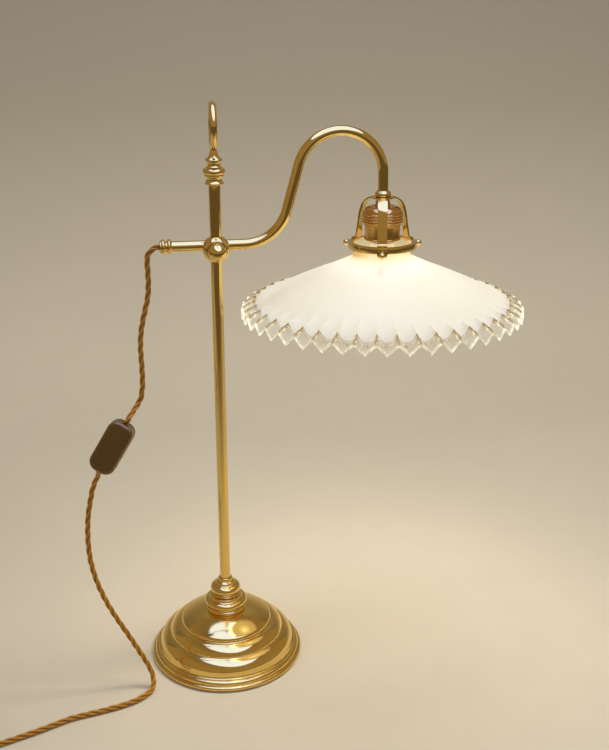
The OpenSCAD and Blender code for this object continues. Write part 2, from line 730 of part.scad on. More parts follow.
module holder_skirt() {
    r = holder_r;
    color(brass_dark) at_head() difference() {
        turned(concat(
            [[0, skirt_end], [r - 0.7, skirt_end]],
            arc([r - 0.7, skirt_end], [r - 0.7, skirt_end + 2.2], 0.7, 6),
            [[r - 0.5, skirt_end + 2.6], [r - 0.5, ring_end - 1.2], [r, ring_end - 0.6],
             [r, ring_top - holder_lip], [0, ring_top - holder_lip]]));
        translate([0, 0, skirt_end - 1]) cylinder(r = r - skirt_t - 0.5, h = 30);
    }
}

module holder_insert() {
    color("#e8e4da") at_head() difference() {
        translate([0, 0, insert_top - insert_h])
            cylinder(r = holder_r - skirt_t - 0.5 - run_gap, h = insert_h);
        translate([8, 0, insert_top - insert_h - 1]) cylinder(r = 1.6, h = insert_h + 2);
        translate([-8, 0, insert_top - insert_h - 1]) cylinder(r = 1.6, h = insert_h + 2);
    }
}

module holder_shell() {
    color("#c8b070") at_head() translate([0, 0, skirt_end + 1.5]) difference() {
        cylinder(r = shell_r + shell_wall, h = insert_top - insert_h - skirt_end - 1.5);
        translate([0, 0, -1]) cylinder(r = shell_r, h = 30);
    }
}

module holder_contact() {
    color("#c8b070") at_head() translate([0, 0, cap_top])
        cylinder(r = 3.5, h = insert_top - insert_h - cap_top);
}

module bulb_cap() {
    r = cap_d / 2;
    color("#c9c9c4") at_head() turned(concat(
        [[0, cap_end], [r, cap_end], [r, cap_top - 4]],
        arc([r, cap_top - 4], [5, cap_top - 0.8], 0.8, 5),
        [[4, cap_top], [0, cap_top]]));
}

// Outline of the bulb, drawn in by c, from its bottom up to the cap
function bulb_outline(c) = let (r = bulb_d / 2 - c, neck = cap_d / 2 - 0.8 - c,
                                a = 180 - asin((neck + 3.5) / r))
    concat([for (i = [0:14]) let (w = a * i / 14) [r * sin(w), bulb_mid - r * cos(w)]],
           arc([r * sin(a), bulb_mid - r * cos(a)], [neck, cap_end], -0.9, 6));

module bulb_glass() {
    inner = bulb_outline(bulb_wall);
    color("#f4efe2") at_head() turned(concat(
        bulb_outline(0), [for (i = [len(inner) - 1:-1:0]) inner[i]]));
}

// ---- Shade ----

// Outside of the glass without its waves, as [radius, height] pairs from the neck to the frill
function shade_outside() = let (y0 = neck_end, y1 = shade_foot, h = y0 - y1, w = frill_in - neck_r)
    [for (s = [[0, 0], [0.006, 0.068], [0.027, 0.113], [0.06, 0.142], [0.15, 0.22], [0.415, 0.422],
               [0.689, 0.641], [0.85, 0.79], [1, 0.917]])
        [neck_r + s[0] * w, y0 - s[1] * h]];

// How far the glass lies above or below its middle at radius r, for column c
function wave(r, c) = let (f = max(0, (r - (frill_in - flute_w)) / (frill_w + flute_w)))
    frill_wave * pow(f, 2.2) * cos(360 * c / 4);

// One ring of points round the shade
function shade_ring(r, z, w = 1) = [for (c = [0:columns - 1])
    let (a = 360 * c / columns) [r * cos(a), r * sin(a), z + w * wave(r, c)]];

// A closed ring-shaped skin through rings of points, each joined to the next and the last to the first
module ring_skin(rings) {
    n = len(rings);
    k = columns;
    polyhedron([for (g = rings) each g],
        [for (i = [0:n - 1], j = [0:k - 1]) let (i2 = (i + 1) % n, j2 = (j + 1) % k)
            each [[i * k + j, i2 * k + j, i2 * k + j2], [i * k + j, i2 * k + j2, i * k + j2]]],
        convexity = 8);
}

module shade_opal() {
    out = shade_outside();
    n = len(out);
    bore = neck_r - glass_t;
    inside = [for (i = [1:n - 1]) let (p = out[i])
        i == 1 ? [p[0] - glass_t, p[1] - 0.5] : p + [0, -glass_t]];
    outside = [for (i = [n - 1:-1:0]) out[i]];
    fitter = [[neck_r, lip_top - lip_t - 0.3], [lip_r, lip_top - lip_t], [lip_r, lip_top], [bore, lip_top],
              [bore, neck_end]];
    color("#fbf3e0") at_head()
        ring_skin([for (p = concat(inside, outside, fitter)) shade_ring(p[0], p[1])]);
}

module shade_frill() {
    p = shade_outside()[len(shade_outside()) - 1];
    mid = [(frill_in + shade_r) / 2, (p[1] + shade_foot) / 2 + 0.6];
    edge = [shade_r, shade_foot];
    color("#dfeee8") at_head() ring_skin([for (q = [
        p + [0, -glass_t], mid + [0, -glass_t], edge + [-0.6, -glass_t + 0.4],
        edge + [0, -0.6], mid, p]) shade_ring(q[0], q[1])]);
}

// ---- Switch ----

module switch_outline(inset, h) {
    w = switch_w - 2 * inset;
    l = switch_l - 2 * inset;
    r = 11 - inset;
    rotate([90, 0, 0]) linear_extrude(h) hull()
        for (x = [-1, 1], z = [-1, 1]) translate([x * (w / 2 - r), z * (l / 2 - r)]) circle(r = r, $fn = 32);
}

// Space for the flex along the switch
module switch_channel() {
    for (s = [-1, 1]) translate([0, 0, s * (switch_l / 2 - 4)]) cylinder(d = cord_hole, h = 9, center = true);
}

module switch_base() {
    y1 = switch_t / 2;
    y0 = y1 - (switch_t - cover_t);
    color("#7d5f2c") at_switch() difference() {
        hull() {
            translate([0, y0 + 4.2, 0]) switch_outline(0, 4.2);
            translate([0, y1, 0]) switch_outline(3, 1);
        }
        translate([0, y0 + 4.9, 0]) switch_outline(2.2, 5);
        switch_screw_places() cylinder(r = screw_head[0] + run_gap, h = screw_head[1] + 1);
        switch_channel();
    }
}

module switch_cover() {
    y0 = -switch_t / 2;
    y1 = y0 + cover_t;
    color("#8a6a32") at_switch() difference() {
        hull() {
            translate([0, y1, 0]) switch_outline(0, 6);
            translate([0, y0 + 1, 0]) switch_outline(3.4, 1);
        }
        translate([0, y1 + 0.1, 0]) switch_outline(2.2, cover_t - 2.4);
        translate([-rocker_w / 2 - free_gap, y0 - 1, -rocker_down - rocker_l / 2 - free_gap])
            cube([rocker_w + 2 * free_gap, 5, rocker_l + 2 * free_gap]);
        translate([0, rocker_axis_y, -rocker_down]) rotate([0, 90, 0])
            cylinder(r = rocker_pin_r + run_gap, h = rocker_pin_l + 2 * free_gap, center = true);
        switch_channel();
    }
}

// The rocker's side view: two flats that meet at its pivot
module switch_rocker() {
    l = rocker_l / 2;
    t = tan(rocker_tilt);
    color("#8a6a32") at_switch() translate([0, rocker_axis_y, -rocker_down])
        rotate([-rocker_tilt, 0, 0]) {
            intersection() {
                translate([-rocker_w / 2, 0, 0]) rotate([90, 0, 90]) linear_extrude(rocker_w)
                    polygon([[-1.9, 0], [-2.6 - l * t / 2, l - 0.4], [2.2 - l * t, l - 0.8], [2.2, 2],
                             [2.2, -2], [2.2 - l * t, -l + 0.8], [-2.6 - l * t / 2, -l + 0.4]]);
                rotate([90, 0, 0]) linear_extrude(20, center = true) {
                    square([rocker_w, rocker_l - 9], center = true);
                    square([rocker_w - 9, rocker_l], center = true);
                    for (x = [-1, 1], z = [-1, 1])
                        translate([x * (rocker_w / 2 - 4.5), z * (l - 4.5)]) circle(r = 4.5, $fn = 32);
                }
            }
            rotate([0, 90, 0]) cylinder(r = rocker_pin_r, h = rocker_pin_l, center = true);
        }
}

// Puts its children at each screw of the switch, head's seat at Z = 0 and the head towards +Z
module switch_screw_places() {
    for (s = [-1, 1]) translate([0, switch_t / 2 - screw_head[1], s * (switch_l / 2 - 14)])
        rotate([-90, 0, 0]) children();
}

module switch_screws() {
    color(brass_dark) at_switch() switch_screw_places() difference() {
        cylinder(r = screw_head[0], h = screw_head[1]);
        translate([-3, -0.4, screw_head[1] - 0.6]) cube([6, 0.8, 1]);
    }
}

module switch_contacts() {
    color("#c8b070") at_switch() for (s = [-1, 1]) translate([s * 6, switch_t / 2 - 5.1, 0])
        cube([3, 4, 26], center = true);
}

// ---- Flex, coil and plug ----

module flex_upper() { color(flex_gold) cord(upper_route, flex_r); }
module flex_lower() { color(flex_gold) cord(lower_route, flex_r); }
module flex_floor() { color(flex_gold) cord(floor_route, flex_r); }
module flex_tail() { color(flex_gold) cord(tail_route, flex_r); }

module flex_coil() {
    color(flex_gold) translate([coil_at[0], coil_at[1], coil_lift]) difference() {
        cylinder(r = coil_d / 2 + coil_w / 2, h = coil_h);
        translate([0, 0, -1]) cylinder(r = coil_d / 2 - coil_w / 2, h = coil_h + 2);
    }
}

module coil_tie() {
    w = coil_w + 2 * free_gap;
    h = coil_h + 2 * run_gap;
    color("#20201e") translate([coil_at[0], coil_at[1], coil_lift - run_gap]) rotate([0, 0, 35])
        translate([coil_d / 2 - w / 2 - tie_t, -tie_w / 2, -tie_t]) difference() {
            cube([w + 2 * tie_t, tie_w, h + 2 * tie_t]);
            translate([tie_t, -1, tie_t]) cube([w, tie_w + 2, h]);
        }
}

// Puts its children on the plug's axis: rear at the origin, pins towards +Z
module at_plug() { translate(plug_at) rotate([-90 + plug_lean, 0, 0]) children(); }

module plug_body() {
    r = plug_d / 2;
    q = plug_rear_d / 2;
    color("#2a211b") at_plug() difference() {
        turned(concat([[0, guard_l], [q - 2, guard_l]], arc([q - 2, guard_l], [q, guard_l + 3], 0.8, 5),
                      arc([q + 0.2, guard_l + 3], [r - 1, plug_l - 7], -1.2, 8),
                      [[r, plug_l - 6], [r, plug_l - 1]], arc([r, plug_l - 1], [r - 1, plug_l], 0.3, 3),
                      [[0, plug_l]]));
        for (s = [-1, 1]) translate([s * 9.5, 0, plug_l - 8]) cylinder(r = pin_d / 2 + run_gap, h = 9);
        for (s = [-1, 1]) translate([-4, s * (r - 1) - 1.5, plug_l - 12]) cube([8, 3, 13]);
    }
}

module plug_guard() {
    color("#2a211b") at_plug() turned([[0, 0], [flex_r + 0.9, 0], [flex_r + 3.2, guard_l], [0, guard_l]]);
}

module plug_pins() {
    color("#c9c9c4") at_plug() for (s = [-1, 1]) translate([s * 9.5, 0, plug_l - 8]) {
        cylinder(d = pin_d, h = 8 + pin_l - 1);
        translate([0, 0, 7 + pin_l]) cylinder(d1 = pin_d, d2 = pin_d - 1.6, h = 1);
    }
}

base_shell();
base_weight();
felt_pad();
base_neck();
pole();
pole_nut();
pole_washer();
finial();
carry_ring();
slide_liner();
knuckle();
clamp_pad();
clamp_knob();
arm_tube();
arm_set_screw();
tail_cap();
tail_bush();
arm_flex();
head_collar();
gallery_spider();
gallery_ring();
thumbscrew_1();
thumbscrew_2();
thumbscrew_3();
holder_cap();
holder_ring();
holder_skirt();
holder_insert();
holder_shell();
holder_contact();
bulb_cap();
bulb_glass();
shade_opal();
shade_frill();
switch_base();
switch_cover();
switch_rocker();
switch_screws();
switch_contacts();
flex_upper();
flex_lower();
flex_floor();
flex_coil();
flex_tail();
coil_tie();
plug_body();
plug_guard();
plug_pins();
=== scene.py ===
"""Brass desk lamp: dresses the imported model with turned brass, opal glass, a clear frill and gold flex.

Pieces are drawn in millimetres, round Z where they are turned, and brought to metres and to their place
when they are done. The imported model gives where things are.
"""

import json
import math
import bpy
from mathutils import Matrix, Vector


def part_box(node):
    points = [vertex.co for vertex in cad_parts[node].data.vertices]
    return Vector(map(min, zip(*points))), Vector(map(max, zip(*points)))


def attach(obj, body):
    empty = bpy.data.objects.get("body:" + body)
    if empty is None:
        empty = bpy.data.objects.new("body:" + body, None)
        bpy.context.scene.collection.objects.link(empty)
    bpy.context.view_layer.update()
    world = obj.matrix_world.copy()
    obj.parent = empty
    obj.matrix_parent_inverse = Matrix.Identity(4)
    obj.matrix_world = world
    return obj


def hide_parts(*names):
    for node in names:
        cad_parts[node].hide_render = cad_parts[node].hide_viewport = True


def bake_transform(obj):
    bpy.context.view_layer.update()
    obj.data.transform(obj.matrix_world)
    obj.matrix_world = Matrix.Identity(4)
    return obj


bl_info = {
    "name": "Brass desk lamp",
    "version": (1, 0, 0),
    "blender": (4, 5, 0),
    "location": "View3D > Sidebar > Lamp",
    "description": "Builds the visible pieces of a brass gooseneck desk lamp over its construction model",
    "category": "Object",
}

import bpy
import bmesh
import numpy as np
from bpy.props import FloatProperty, FloatVectorProperty, IntProperty, PointerProperty
from mathutils import Matrix, Vector

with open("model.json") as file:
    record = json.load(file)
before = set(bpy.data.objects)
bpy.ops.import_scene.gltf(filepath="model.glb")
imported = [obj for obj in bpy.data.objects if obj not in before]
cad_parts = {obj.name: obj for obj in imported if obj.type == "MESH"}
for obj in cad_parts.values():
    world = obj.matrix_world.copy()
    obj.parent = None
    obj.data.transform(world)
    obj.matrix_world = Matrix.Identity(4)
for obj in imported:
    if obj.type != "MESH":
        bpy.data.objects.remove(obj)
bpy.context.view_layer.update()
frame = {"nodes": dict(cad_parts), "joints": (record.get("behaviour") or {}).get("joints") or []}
MM = 0.001


def low(node):
    """Lowest corner of a CAD node, in millimetres."""
    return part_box(node)[0] / MM


def high(node):
    """Highest corner of a CAD node, in millimetres."""
    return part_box(node)[1] / MM


def joint(name):
    """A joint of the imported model, by name."""
    return next(j for j in frame["joints"] if j["name"] == name)


# ---------------------------------------------------------------- sizes and colours


def width(node):
    """Width of a CAD node along X, in metres."""
    return (high(node).x - low(node).x) * MM


def length(name, description, default):
    """A size of the lamp, in metres."""
    return FloatProperty(name=name, description=description, unit="LENGTH", default=default)


def colour(name, description, default):
    """A colour of one of the finishes."""
    return FloatVectorProperty(name=name, description=description, subtype="COLOR", default=default)


class LampSizes(bpy.types.PropertyGroup):
    """Sizes of the visible pieces."""

    foot_d: length("Foot diameter", "Diameter of the base's foot bead", width("base_shell"))
    pole_d: length("Pole diameter", "Outside diameter of the pole", width("pole"))
    arm_d: length("Arm diameter", "Outside diameter of the arm's tube",
                  2 * (joint("arm_swing")["pos_m"][2] / MM - low("arm_tube").z) * MM)
    lower_bend: length("Lower bend", "Radius of the arm's lower bend", 0.0465)
    riser_angle: FloatProperty(
        name="Riser angle", description="Steepness of the arm's riser", subtype="ANGLE",
        default=math.radians(74.5))
    riser: length("Riser", "Length of the straight riser", 0.049)
    gooseneck: length("Gooseneck", "Radius of the gooseneck", 0.0454)
    drop: length("Drop", "Straight drop above the gallery", 0.024)
    shade_d: length("Shade diameter", "Diameter of the shade over its frill", 0.304)
    glass: length("Glass thickness", "Thickness of the shade's glass", 0.0026)
    frill: length("Frill width", "Width of the clear frill along the radius", 0.013)
    crimps: IntProperty(name="Crimps", description="Number of crimps round the frill", default=44)
    flex_d: length("Flex diameter", "Diameter of the three twisted cores together", 0.0062)
    twist: length("Twist", "Length of flex in which the cores make one turn", 0.034)


class LampColours(bpy.types.PropertyGroup):
    """Colours of the finishes."""

    brass: colour("Brass", "Polished, lacquered brass", (0.83, 0.575, 0.18))
    opal: colour("Opal", "Opal glass by its own colour", (0.84, 0.79, 0.67))
    glow: colour("Glow", "Light of the bulb through the glass", (1.0, 0.95, 0.8))
    flex: colour("Flex", "Gold braid over the cores", (0.6, 0.27, 0.018))
    switch: colour("Switch", "Satin antique gold of the inline switch", (0.22, 0.13, 0.045))
    backdrop: colour("Backdrop", "Pale painted canvas", (0.7, 0.625, 0.49))


# ---------------------------------------------------------------- drawing in millimetres


def deselect():
    """Leaves edit mode and selects nothing."""
    if bpy.context.object and bpy.context.object.mode != "OBJECT":
        bpy.ops.object.mode_set(mode="OBJECT")
    bpy.ops.object.select_all(action="DESELECT")


def pick(piece):
    """Makes one piece the only selected and the active one."""
    deselect()
    piece.select_set(True)
    bpy.context.view_layer.objects.active = piece


def arc(p, q, bulge, n=14):
    """Points on an arc from p to q, p left out, that stands bulge proud of the chord, on its right."""
    p, q = Vector(p), Vector(q)
    chord = (q - p).length
    radius = (chord * chord / 4 + bulge * bulge) / (2 * abs(bulge))
    along = (q - p) / chord
    side = Vector((along.y, -along.x)) * math.copysign(1, bulge)
    centre = (p + q) / 2 - (radius - abs(bulge)) * side
    half = math.asin(min(1, chord / 2 / radius))
    angles = [half * (2 * i / n - 1) for i in range(1, n + 1)]
    return [tuple(centre + radius * (math.cos(a) * side + math.sin(a) * along)) for a in angles]


def ball(radius, height, start, end, n=24):
    """Points on a ball's outline, from one angle above the horizontal to another, in degrees."""
    angles = [math.radians(start + (end - start) * i / n) for i in range(n + 1)]
    return [(radius * math.cos(a), height + radius * math.sin(a)) for a in angles]


def curve_points(points, steps):
    """Points on a smooth curve through the given ones, with steps to each stretch."""
    p = np.array(points, float)
    p = np.vstack([2 * p[0] - p[1], p, 2 * p[-1] - p[-2]])
    fine = []
    for a, b, c, d in zip(p, p[1:], p[2:], p[3:]):
        for t in np.linspace(0, 1, steps, endpoint=False):
            fine.append(0.5 * (2 * b + (c - a) * t + (2 * a - 5 * b + 4 * c - d) * t ** 2
                               + (3 * b - a - 3 * c + d) * t ** 3))
    return np.array(fine + [p[-2]])


def new_point():
    """Starts a mesh of one vertex at the origin, in edit mode."""
    deselect()
    bpy.ops.mesh.primitive_plane_add(size=2)
    bpy.ops.object.mode_set(mode="EDIT")
    bpy.ops.mesh.select_mode(type="VERT")
    bpy.ops.mesh.merge(type="CENTER")
    return bpy.context.object


def draw_line(points):
    """Draws a line of vertices through the points, from the selected vertex at the origin."""
    bpy.ops.transform.translate(value=points[0])
    for a, b in zip(points, points[1:]):
        step = Vector(b) - Vector(a)
        bpy.ops.mesh.extrude_vertices_move(TRANSFORM_OT_translate={"value": tuple(step)})


def extrude(x, y, z):
    """Draws what is selected on by a step."""
    bpy.ops.mesh.extrude_region_move(TRANSFORM_OT_translate={"value": (x, y, z)})


def smooth(piece, angle=32):
    """Shades a piece smooth, but for edges sharper than the angle."""
    pick(piece)
    bpy.ops.object.shade_smooth_by_angle(angle=math.radians(angle), keep_sharp_edges=False)


def weld(piece, distance=0.002):
    """Merges doubled vertices and turns all faces outwards."""
    pick(piece)
    bpy.ops.object.mode_set(mode="EDIT")
    bpy.ops.mesh.select_all(action="SELECT")
    bpy.ops.mesh.remove_doubles(threshold=distance)
    bpy.ops.mesh.normals_make_consistent(inside=False)
    bpy.ops.object.mode_set(mode="OBJECT")


def turned(name, outline, steps=144, ease=0.18):
    """A piece turned on a lathe: an outline of [radius, height] pairs, spun round Z, with eased edges."""
    piece = new_point()
    piece.name = name
    draw_line([(max(r, 0), 0, z) for r, z in outline])
    bpy.ops.mesh.select_all(action="SELECT")
    bpy.ops.mesh.spin(steps=steps, angle=math.tau, center=(0, 0, 0), axis=(0, 0, 1))
    weld(piece)
    if ease:
        bevel(piece, ease, 2, angle=35)
    smooth(piece)
    return piece


def apply_all(piece):
    """Applies every modifier of a piece."""
    pick(piece)
    for modifier in list(piece.modifiers):
        bpy.ops.object.modifier_apply(modifier=modifier.name)


def bevel(piece, width, segments=3, angle=30):
    """Rounds every edge sharper than the angle."""
    modifier = piece.modifiers.new("Bevel", "BEVEL")
    modifier.width = width
    modifier.segments = segments
    modifier.limit_method = "ANGLE"
    modifier.angle_limit = math.radians(angle)
    modifier.use_clamp_overlap = True
    apply_all(piece)


def cut(piece, *cutters, operation="DIFFERENCE"):
    """Cuts the cutters out of a piece and deletes them."""
    for cutter in cutters:
        modifier = piece.modifiers.new("Cut", "BOOLEAN")
        modifier.operation = operation
        modifier.solver = "EXACT"
        modifier.object = cutter
        apply_all(piece)
        bpy.data.objects.remove(cutter)


def unite(piece, *others):
    """Joins other solids to a piece, as one solid, and deletes them."""
    cut(piece, *others, operation="UNION")


def rod(radius, long, place=Matrix(), sides=96):
    """A plain rod up from the origin along Z, then put in its place: used for cutting and joining."""
    deselect()
    bpy.ops.mesh.primitive_cylinder_add(vertices=sides, radius=radius, depth=long, location=(0, 0, long / 2))
    piece = bpy.context.object
    piece.matrix_world = place @ shift(0, 0, long / 2)
    bpy.ops.object.transform_apply()
    return piece


def block(size, centre=(0, 0, 0)):
    """A plain block, used as the start of a piece or for cutting."""
    deselect()
    bpy.ops.mesh.primitive_cube_add(size=1, location=centre)
    piece = bpy.context.object
    piece.scale = size
    bpy.ops.object.transform_apply()
    return piece


def copy_of(piece, name):
    """A copy of a piece, with its own mesh."""
    twin = piece.copy()
    twin.data = piece.data.copy()
    twin.name = name
    bpy.context.scene.collection.objects.link(twin)
    return twin


def done(piece, material, body, replaced, place=Matrix()):
    """Brings a finished piece to metres and to its place, and gives it its finish and its body."""
    pick(piece)
    piece.matrix_world = Matrix.Scale(MM, 4) @ place
    bpy.ops.object.transform_apply()
    piece.data.materials.clear()
    piece.data.materials.append(material)
    if body:
        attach(piece, body)
    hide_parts(*replaced)
    return piece


def lathe(name, outline, material, body, node, place=Matrix(), slot="polished_brass", **how):
    """A turned piece, finished and put in its place, for one CAD node."""
    return done(turned(name, outline, **how), material, body, [node], place)


def turn(axis, degrees):
    """A rotation about one of the main axes."""
    return Matrix.Rotation(math.radians(degrees), 4, axis)


def shift(x, y, z):
    """A move."""
    return Matrix.Translation((x, y, z))


# ---------------------------------------------------------------- where the lamp's parts are

PITCH = joint("arm_swing")["pos_m"][2] / MM
ARM_Y = (low("tail_cap").y + high("tail_cap").y) / 2
TAIL_X = low("arm_tube").x
CAP_X = low("tail_cap").x
SIDEWAYS = turn("X", 90)
THUMB_NAMES = ("front", "right", "left")
THUMBS = [Vector(joint(n + "_screw_slide")["axis"]) for n in THUMB_NAMES]
UPRIGHT = THUMBS[1].cross(THUMBS[2]).normalized()
LEAN = -math.degrees(math.asin(UPRIGHT.x))
ROLL = math.degrees(math.atan2(UPRIGHT.y, UPRIGHT.z))
ARM_RUN = 31.0  # straight of the arm from the pole's axis to its lower bend
STOP_GAP = 0.15  # room left between faces that would meet at the end of a joint's travel
FIT = 0.05  # room between a bore and what goes through it


def arm_corners(sizes):
    """The gooseneck's centre and the end of the drop, in the arm's own plane, from the pole's axis."""
    bend, neck, angle = sizes.lower_bend / MM, sizes.gooseneck / MM, sizes.riser_angle
    rise = Vector((math.cos(angle), math.sin(angle)))
    bend_end = Vector((ARM_RUN + bend * math.sin(angle), bend * (1 - math.cos(angle))))
    riser_end = bend_end + sizes.riser / MM * rise
    middle = riser_end + neck * Vector((math.sin(angle), -math.cos(angle)))
    lean = math.radians(LEAN)
    drop_start = middle + neck * Vector((math.cos(lean), math.sin(lean)))
    head = drop_start + sizes.drop / MM * Vector((math.sin(lean), -math.cos(lean)))
    return middle, head


def arm_place():
    """Puts a piece in the plane of the arm's bends, on the axis of its straight run."""
    return shift(0, ARM_Y, PITCH) @ turn("X", -ROLL)


def head_place(sizes):
    """Puts a piece on the head's axis, with Z = 0 on top of the gallery's plate."""
    _, head = arm_corners(sizes)
    return arm_place() @ shift(head.x, 0, head.y) @ turn("Y", -LEAN)


# ---------------------------------------------------------------- finishes

BLACK = (0, 0, 0)
WHITE = (1, 1, 1)


def math_node(operation, swapped=False):
    """A method that makes a Math node of a field and what it meets."""
    def method(field, other=0.0):
        pair = (other, field) if swapped else (field, other)
        return field.finish.add("ShaderNodeMath", {"operation": operation}, dict(enumerate(pair)))
    return method


class Field:
    """A node's output that can be used in sums."""

    def __init__(self, finish, socket):
        self.finish = finish
        self.socket = socket

    __add__ = math_node("ADD")
    __radd__ = math_node("ADD", swapped=True)
    __sub__ = math_node("SUBTRACT")
    __rsub__ = math_node("SUBTRACT", swapped=True)
    __mul__ = math_node("MULTIPLY")
    __truediv__ = math_node("DIVIDE")
    __pow__ = math_node("POWER")
    sine = math_node("SINE")


class Finish:
    """A material with one shader, and the nodes that vary it."""

    def __init__(self, name, **constants):
        self.material = bpy.data.materials.new(name)
        self.material.use_nodes = True
        self.tree = self.material.node_tree
        self.shader = next(n for n in self.tree.nodes if n.type == "BSDF_PRINCIPLED")
        for socket, value in constants.items():
            self.set(socket.replace("_", " ").title().replace("Ior", "IOR"), value)

    def set(self, socket, value):
        """Sets or links a socket of the shader."""
        self.feed(self.shader.inputs[socket], value)

    def feed(self, socket, value):
        """Links an output to a socket, or sets the socket's own value."""
        if isinstance(value, Field):
            self.tree.links.new(value.socket, socket)
        elif hasattr(socket.default_value, "__len__") and len(socket.default_value) == 4 and len(value) == 3:
            socket.default_value = (*value, 1)
        else:
            socket.default_value = value

    def add(self, kind, settings=None, values=None, output=0):
        """Adds any node: its settings first, then the values or links of its sockets."""
        node = self.tree.nodes.new(kind)
        for key, value in (settings or {}).items():
            if key == "stops":
                set_stops(node.color_ramp, value)
            else:
                setattr(node, key, value)
        for key, value in (values or {}).items():
            self.feed(node.inputs[key], value)
        return Field(self, node.outputs[output])

    def over(self, other, share):
        """Lays another shader over this one, by its share."""
        own = Field(self, self.shader.outputs[0])
        mixed = self.add("ShaderNodeMixShader", None, {0: share, 1: own, 2: other})
        surface = next(n for n in self.tree.nodes if n.type == "OUTPUT_MATERIAL").inputs["Surface"]
        self.tree.links.new(mixed.socket, surface)

    def place(self, scale=(1, 1, 1), centre=(0, 0, 0)):
        """Object coordinates, measured from a centre and scaled."""
        coords = self.add("ShaderNodeTexCoord", output="Object")
        return self.add("ShaderNodeMapping", {"vector_type": "TEXTURE"},
                        {"Vector": coords, "Location": centre, "Scale": tuple(1 / s for s in scale)})

    def noise(self, scale, detail=3, vector=None, roughness=0.5):
        """Cloudy noise, about 0 to 1."""
        return self.add("ShaderNodeTexNoise", None, {
            "Scale": scale, "Detail": detail, "Roughness": roughness, "Vector": vector or self.place()})

    def parts(self, vector):
        """The three numbers of a vector."""
        node = self.tree.nodes.new("ShaderNodeSeparateXYZ")
        self.feed(node.inputs[0], vector)
        return [Field(self, output) for output in node.outputs]

    def vector(self, x, y, z):
        """A vector of three numbers."""
        return self.add("ShaderNodeCombineXYZ", None, {0: x, 1: y, 2: z})

    def ramp(self, value, stops):
        """A colour ramp from (place, colour) stops."""
        return self.add("ShaderNodeValToRGB", {"stops": stops}, {"Fac": value})

    def rise(self, value, start, end):
        """Grey that goes from black at the start to white at the end."""
        return self.ramp(value, [(start, BLACK), (end, WHITE)])

    def mix(self, amount, a, b):
        """A blend of two colours."""
        node = self.tree.nodes.new("ShaderNodeMix")
        node.data_type = "RGBA"
        sockets = [s for s in node.inputs if s.enabled]
        self.feed(sockets[0], amount)
        self.feed(sockets[1], a)
        self.feed(sockets[2], b)
        return Field(self, next(s for s in node.outputs if s.enabled))

    def bump(self, height, strength, distance):
        """Feeds a height to the shader's normal."""
        self.set("Normal", self.add("ShaderNodeBump", None, {
            "Strength": strength, "Distance": distance, "Height": height}))


def set_stops(ramp, stops):
    """Gives a colour ramp its stops."""
    ramp.elements.remove(ramp.elements[-1])
    ramp.elements[0].position = stops[0][0]
    ramp.elements[0].color = (*stops[0][1], 1)
    for position, hue in stops[1:]:
        ramp.elements.new(position).color = (*hue, 1)


def colours():
    """The lamp's colours, as the panel has them."""
    return bpy.context.scene.lamp_colours


def tint(hue, factor):
    """A colour made darker or lighter."""
    return tuple(c * factor for c in hue)


def brass(name, roughness=0.09, rings=0.0, tone=1.0, warmth=1.0):
    """Polished brass: faint smears in its polish, hairline scratches, and turning rings where it was spun."""
    red, green, blue = tint(colours().brass, tone)
    base = (red, green * warmth, blue * warmth)
    finish = Finish(name, metallic=1.0)
    smears = finish.noise(38, 4)
    hairs = finish.noise(900, 2, finish.place(scale=(1, 1, 0.04)))
    finish.set("Base Color", finish.mix(smears * 0.8, tint(base, 0.93), tint(base, 1.07)))
    finish.set("Roughness", roughness + (smears - 0.5) * 0.07 + (hairs - 0.5) * 0.05)
    if rings:
        x, y, z = finish.parts(finish.place())
        radius = (x * x + y * y) ** 0.5
        grooves = finish.noise(1.0, 2, finish.vector(radius * 2600, z * 1400, 0.0))
        finish.bump(grooves + smears * 2.5, rings, 0.00002)
    else:
        finish.bump(hairs + smears * 4, 0.06, 0.0001)
    return finish.material


def opal_glass(name, place):
    """Opal glass lit from inside: hot and white by the bulb, creamy towards the rim, with painted shade and a
    painted amber glow in its base colour at the neck.
    """
    finish = Finish(name, roughness=0.4, ior=1.3, coat_weight=0.05, coat_roughness=0.08,
                    emission_strength=1.0, specular_tint=(1.0, 0.88, 0.6))
    x, y, _ = finish.parts(finish.place(centre=tuple(place.translation * MM)))
    outward = (x * x + y * y) ** 0.5 / 0.16
    opal, glow = colours().opal, colours().glow
    lip, painted_amber_glow = 0.176, (0.6, 0.36, 0.1)
    finish.set("Emission Color", finish.ramp(outward, [
        (lip, (0.4, 0.33, 0.18)), (0.18, (0.42, 0.24, 0.04)), (0.188, (0.5, 0.31, 0.08)),
        (0.2, (0.7, 0.58, 0.35))] + [(at, tint(glow, strength)) for at, strength in (
            (0.22, 0.7), (0.3, 0.48), (0.42, 0.34), (0.58, 0.29), (0.8, 0.24), (0.95, 0.2))]))
    bell = finish.mix(finish.noise(30, 3), tint(opal, 0.97), opal)
    # Base colour at the neck: painted shade at the lip, where the glass is seen from inside, then a painted
    # amber glow band below the ring.
    neck = finish.ramp(outward, [(lip, tint(opal, 0.42)), (0.18, painted_amber_glow), (0.189, painted_amber_glow), (0.2, opal)])
    finish.set("Base Color", finish.mix(finish.rise(outward, 0.19, 0.2), neck, bell))
    finish.bump(finish.noise(60, 2), 0.05, 0.0004)
    return finish.material


GLASS_NOTES = ("outward", "off_crest")


